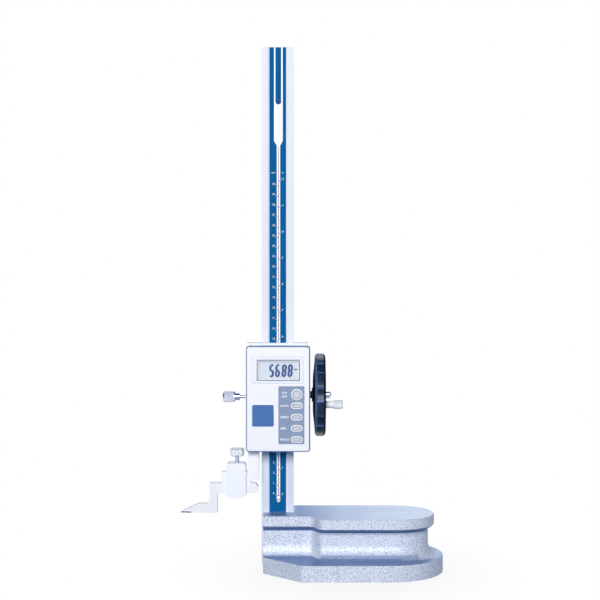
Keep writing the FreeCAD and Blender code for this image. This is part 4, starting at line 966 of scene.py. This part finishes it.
area_lamp("left_softbox", place=(-0.32, -2.0, 0.86), size=FRONT_SIZE, power=28.5, colour=KEY_LIGHT)
area_lamp("right_softbox", place=(0.02, -2.0, 0.86), size=FRONT_SIZE, power=13.5, colour=KEY_LIGHT)
area_lamp("top_softbox", place=(0.4, 1.4, 1.9), size=REAR_SIZE, power=8, colour=(0.90, 0.95, 1.0))
back_lamp = area_lamp(
    "back_softbox", place=(0.0, 1.9, 0.6), size=REAR_SIZE, power=20, colour=(0.96, 0.98, 1.0))
back_lamp.visible_glossy = False


def blend_of(tree, share, first, second):
    """Shader that goes from first to second with share."""
    blend = tree.nodes.new("ShaderNodeMixShader")
    tree.links.new(share, blend.inputs[0])
    tree.links.new(first, blend.inputs[1])
    tree.links.new(second, blend.inputs[2])
    return blend.outputs[0]


AMBIENT = (0.38, 0.61, 1.0, 1)
AMBIENT_STRENGTH = 0.13
SIDE_CARDS = [(0.10, (0.05, 0.09, 0.19, 1)), (0.50, (0.38, 0.48, 0.68, 1)), (0.88, (0.88, 0.93, 1.0, 1))]
CARD_STRENGTH = (0.62, 1.0)
CARD_LIFT = (-0.35, 0.30)


def studio_world():
    """White for the eye, and a soft bluish light. Metal and glass see it bright before and behind the
    object, dark at the sides and overhead, and a little dimmer below, which draws their edges."""
    world = bpy.data.worlds.new("studio")
    world.use_nodes = True
    tree = world.node_tree
    tree.nodes.clear()
    white, ambient, mirrored = (tree.nodes.new("ShaderNodeBackground") for _ in range(3))
    white.inputs["Color"].default_value = (1, 1, 1, 1)
    ambient.inputs["Color"].default_value = AMBIENT
    ambient.inputs["Strength"].default_value = AMBIENT_STRENGTH
    place = tree.nodes.new("ShaderNodeTexCoord")
    direction = tree.nodes.new("ShaderNodeSeparateXYZ")
    tree.links.new(place.outputs["Generated"], direction.inputs[0])
    depth = math_of(tree, "ABSOLUTE", direction.outputs["Y"])
    tree.links.new(ramp_of(tree, depth, SIDE_CARDS), mirrored.inputs["Color"])
    lift = range_of(tree, direction.outputs["Z"], CARD_STRENGTH, CARD_LIFT)
    tree.links.new(lift, mirrored.inputs["Strength"])
    path = tree.nodes.new("ShaderNodeLightPath")
    shiny = math_of(tree, "MAXIMUM", path.outputs["Is Glossy Ray"], path.outputs["Is Transmission Ray"])
    lit = blend_of(tree, shiny, ambient.outputs[0], mirrored.outputs[0])
    seen = blend_of(tree, path.outputs["Is Camera Ray"], lit, white.outputs[0])
    out = tree.nodes.new("ShaderNodeOutputWorld")
    tree.links.new(seen, out.inputs["Surface"])
    bpy.context.scene.world = world


FLOOR_SIZE = 12
FLOOR_MIDDLE = (0.07, 0.0, 0.0)
FLOOR_DROP = 0.0003
FLOOR_WHITE = (0.90, 0.92, 0.95, 1)
FLOOR_BOUNCE = (0.16, 0.26, 0.44, 1)
SHADOW_REACH = (0.06, 0.17)
WHITE_SHARE = (0.84, 1.0)


def studio_floor():
    """Plain white floor that keeps a faint shadow round the base."""
    start_clean()
    bpy.ops.mesh.primitive_plane_add(size=FLOOR_SIZE, location=(0, 0, -FLOOR_DROP))
    floor = active_piece()
    floor.name = "floor"
    material = bpy.data.materials.new("floor_white")
    material.use_nodes = True
    tree = material.node_tree
    tree.nodes.clear()
    path = tree.nodes.new("ShaderNodeLightPath")
    cloth = tree.nodes.new("ShaderNodeBsdfDiffuse")
    bounce = tree.nodes.new("ShaderNodeMix")
    bounce.data_type = "RGBA"
    bounce.inputs["A"].default_value = FLOOR_WHITE
    bounce.inputs["B"].default_value = FLOOR_BOUNCE
    tree.links.new(path.outputs["Is Diffuse Ray"], bounce.inputs["Factor"])
    tree.links.new(bounce.outputs["Result"], cloth.inputs["Color"])
    glow = tree.nodes.new("ShaderNodeEmission")
    place = tree.nodes.new("ShaderNodeTexCoord")
    reach = tree.nodes.new("ShaderNodeVectorMath")
    reach.operation = "DISTANCE"
    reach.inputs[1].default_value = FLOOR_MIDDLE
    tree.links.new(place.outputs["Object"], reach.inputs[0])
    fade = range_of(tree, reach.outputs["Value"], WHITE_SHARE, SHADOW_REACH)
    seen = math_of(tree, "MAXIMUM", path.outputs["Is Camera Ray"], path.outputs["Is Transmission Ray"])
    seen = math_of(tree, "MAXIMUM", seen, path.outputs["Is Glossy Ray"])
    share = math_of(tree, "MULTIPLY", fade, seen)
    out = tree.nodes.new("ShaderNodeOutputMaterial")
    tree.links.new(blend_of(tree, share, cloth.outputs[0], glow.outputs[0]), out.inputs["Surface"])
    floor.data.materials.append(material)


studio_world()
studio_floor()
bpy.context.scene.view_settings.view_transform = "Standard"

# The camera stands level, as the perspective of the photograph gives it; lens and sensor in millimetres.
CAMERA_PLACE = (0.0216, -1.093, 0.260)
LENS, SENSOR = 67.68, 36
camera_data = bpy.data.cameras.new("camera")
camera_data.lens = LENS
camera_data.sensor_width = SENSOR
camera = bpy.data.objects.new("camera", camera_data)
camera.location = CAMERA_PLACE
camera.rotation_euler = FACING_FRONT
bpy.context.scene.collection.objects.link(camera)
bpy.context.scene.camera = camera
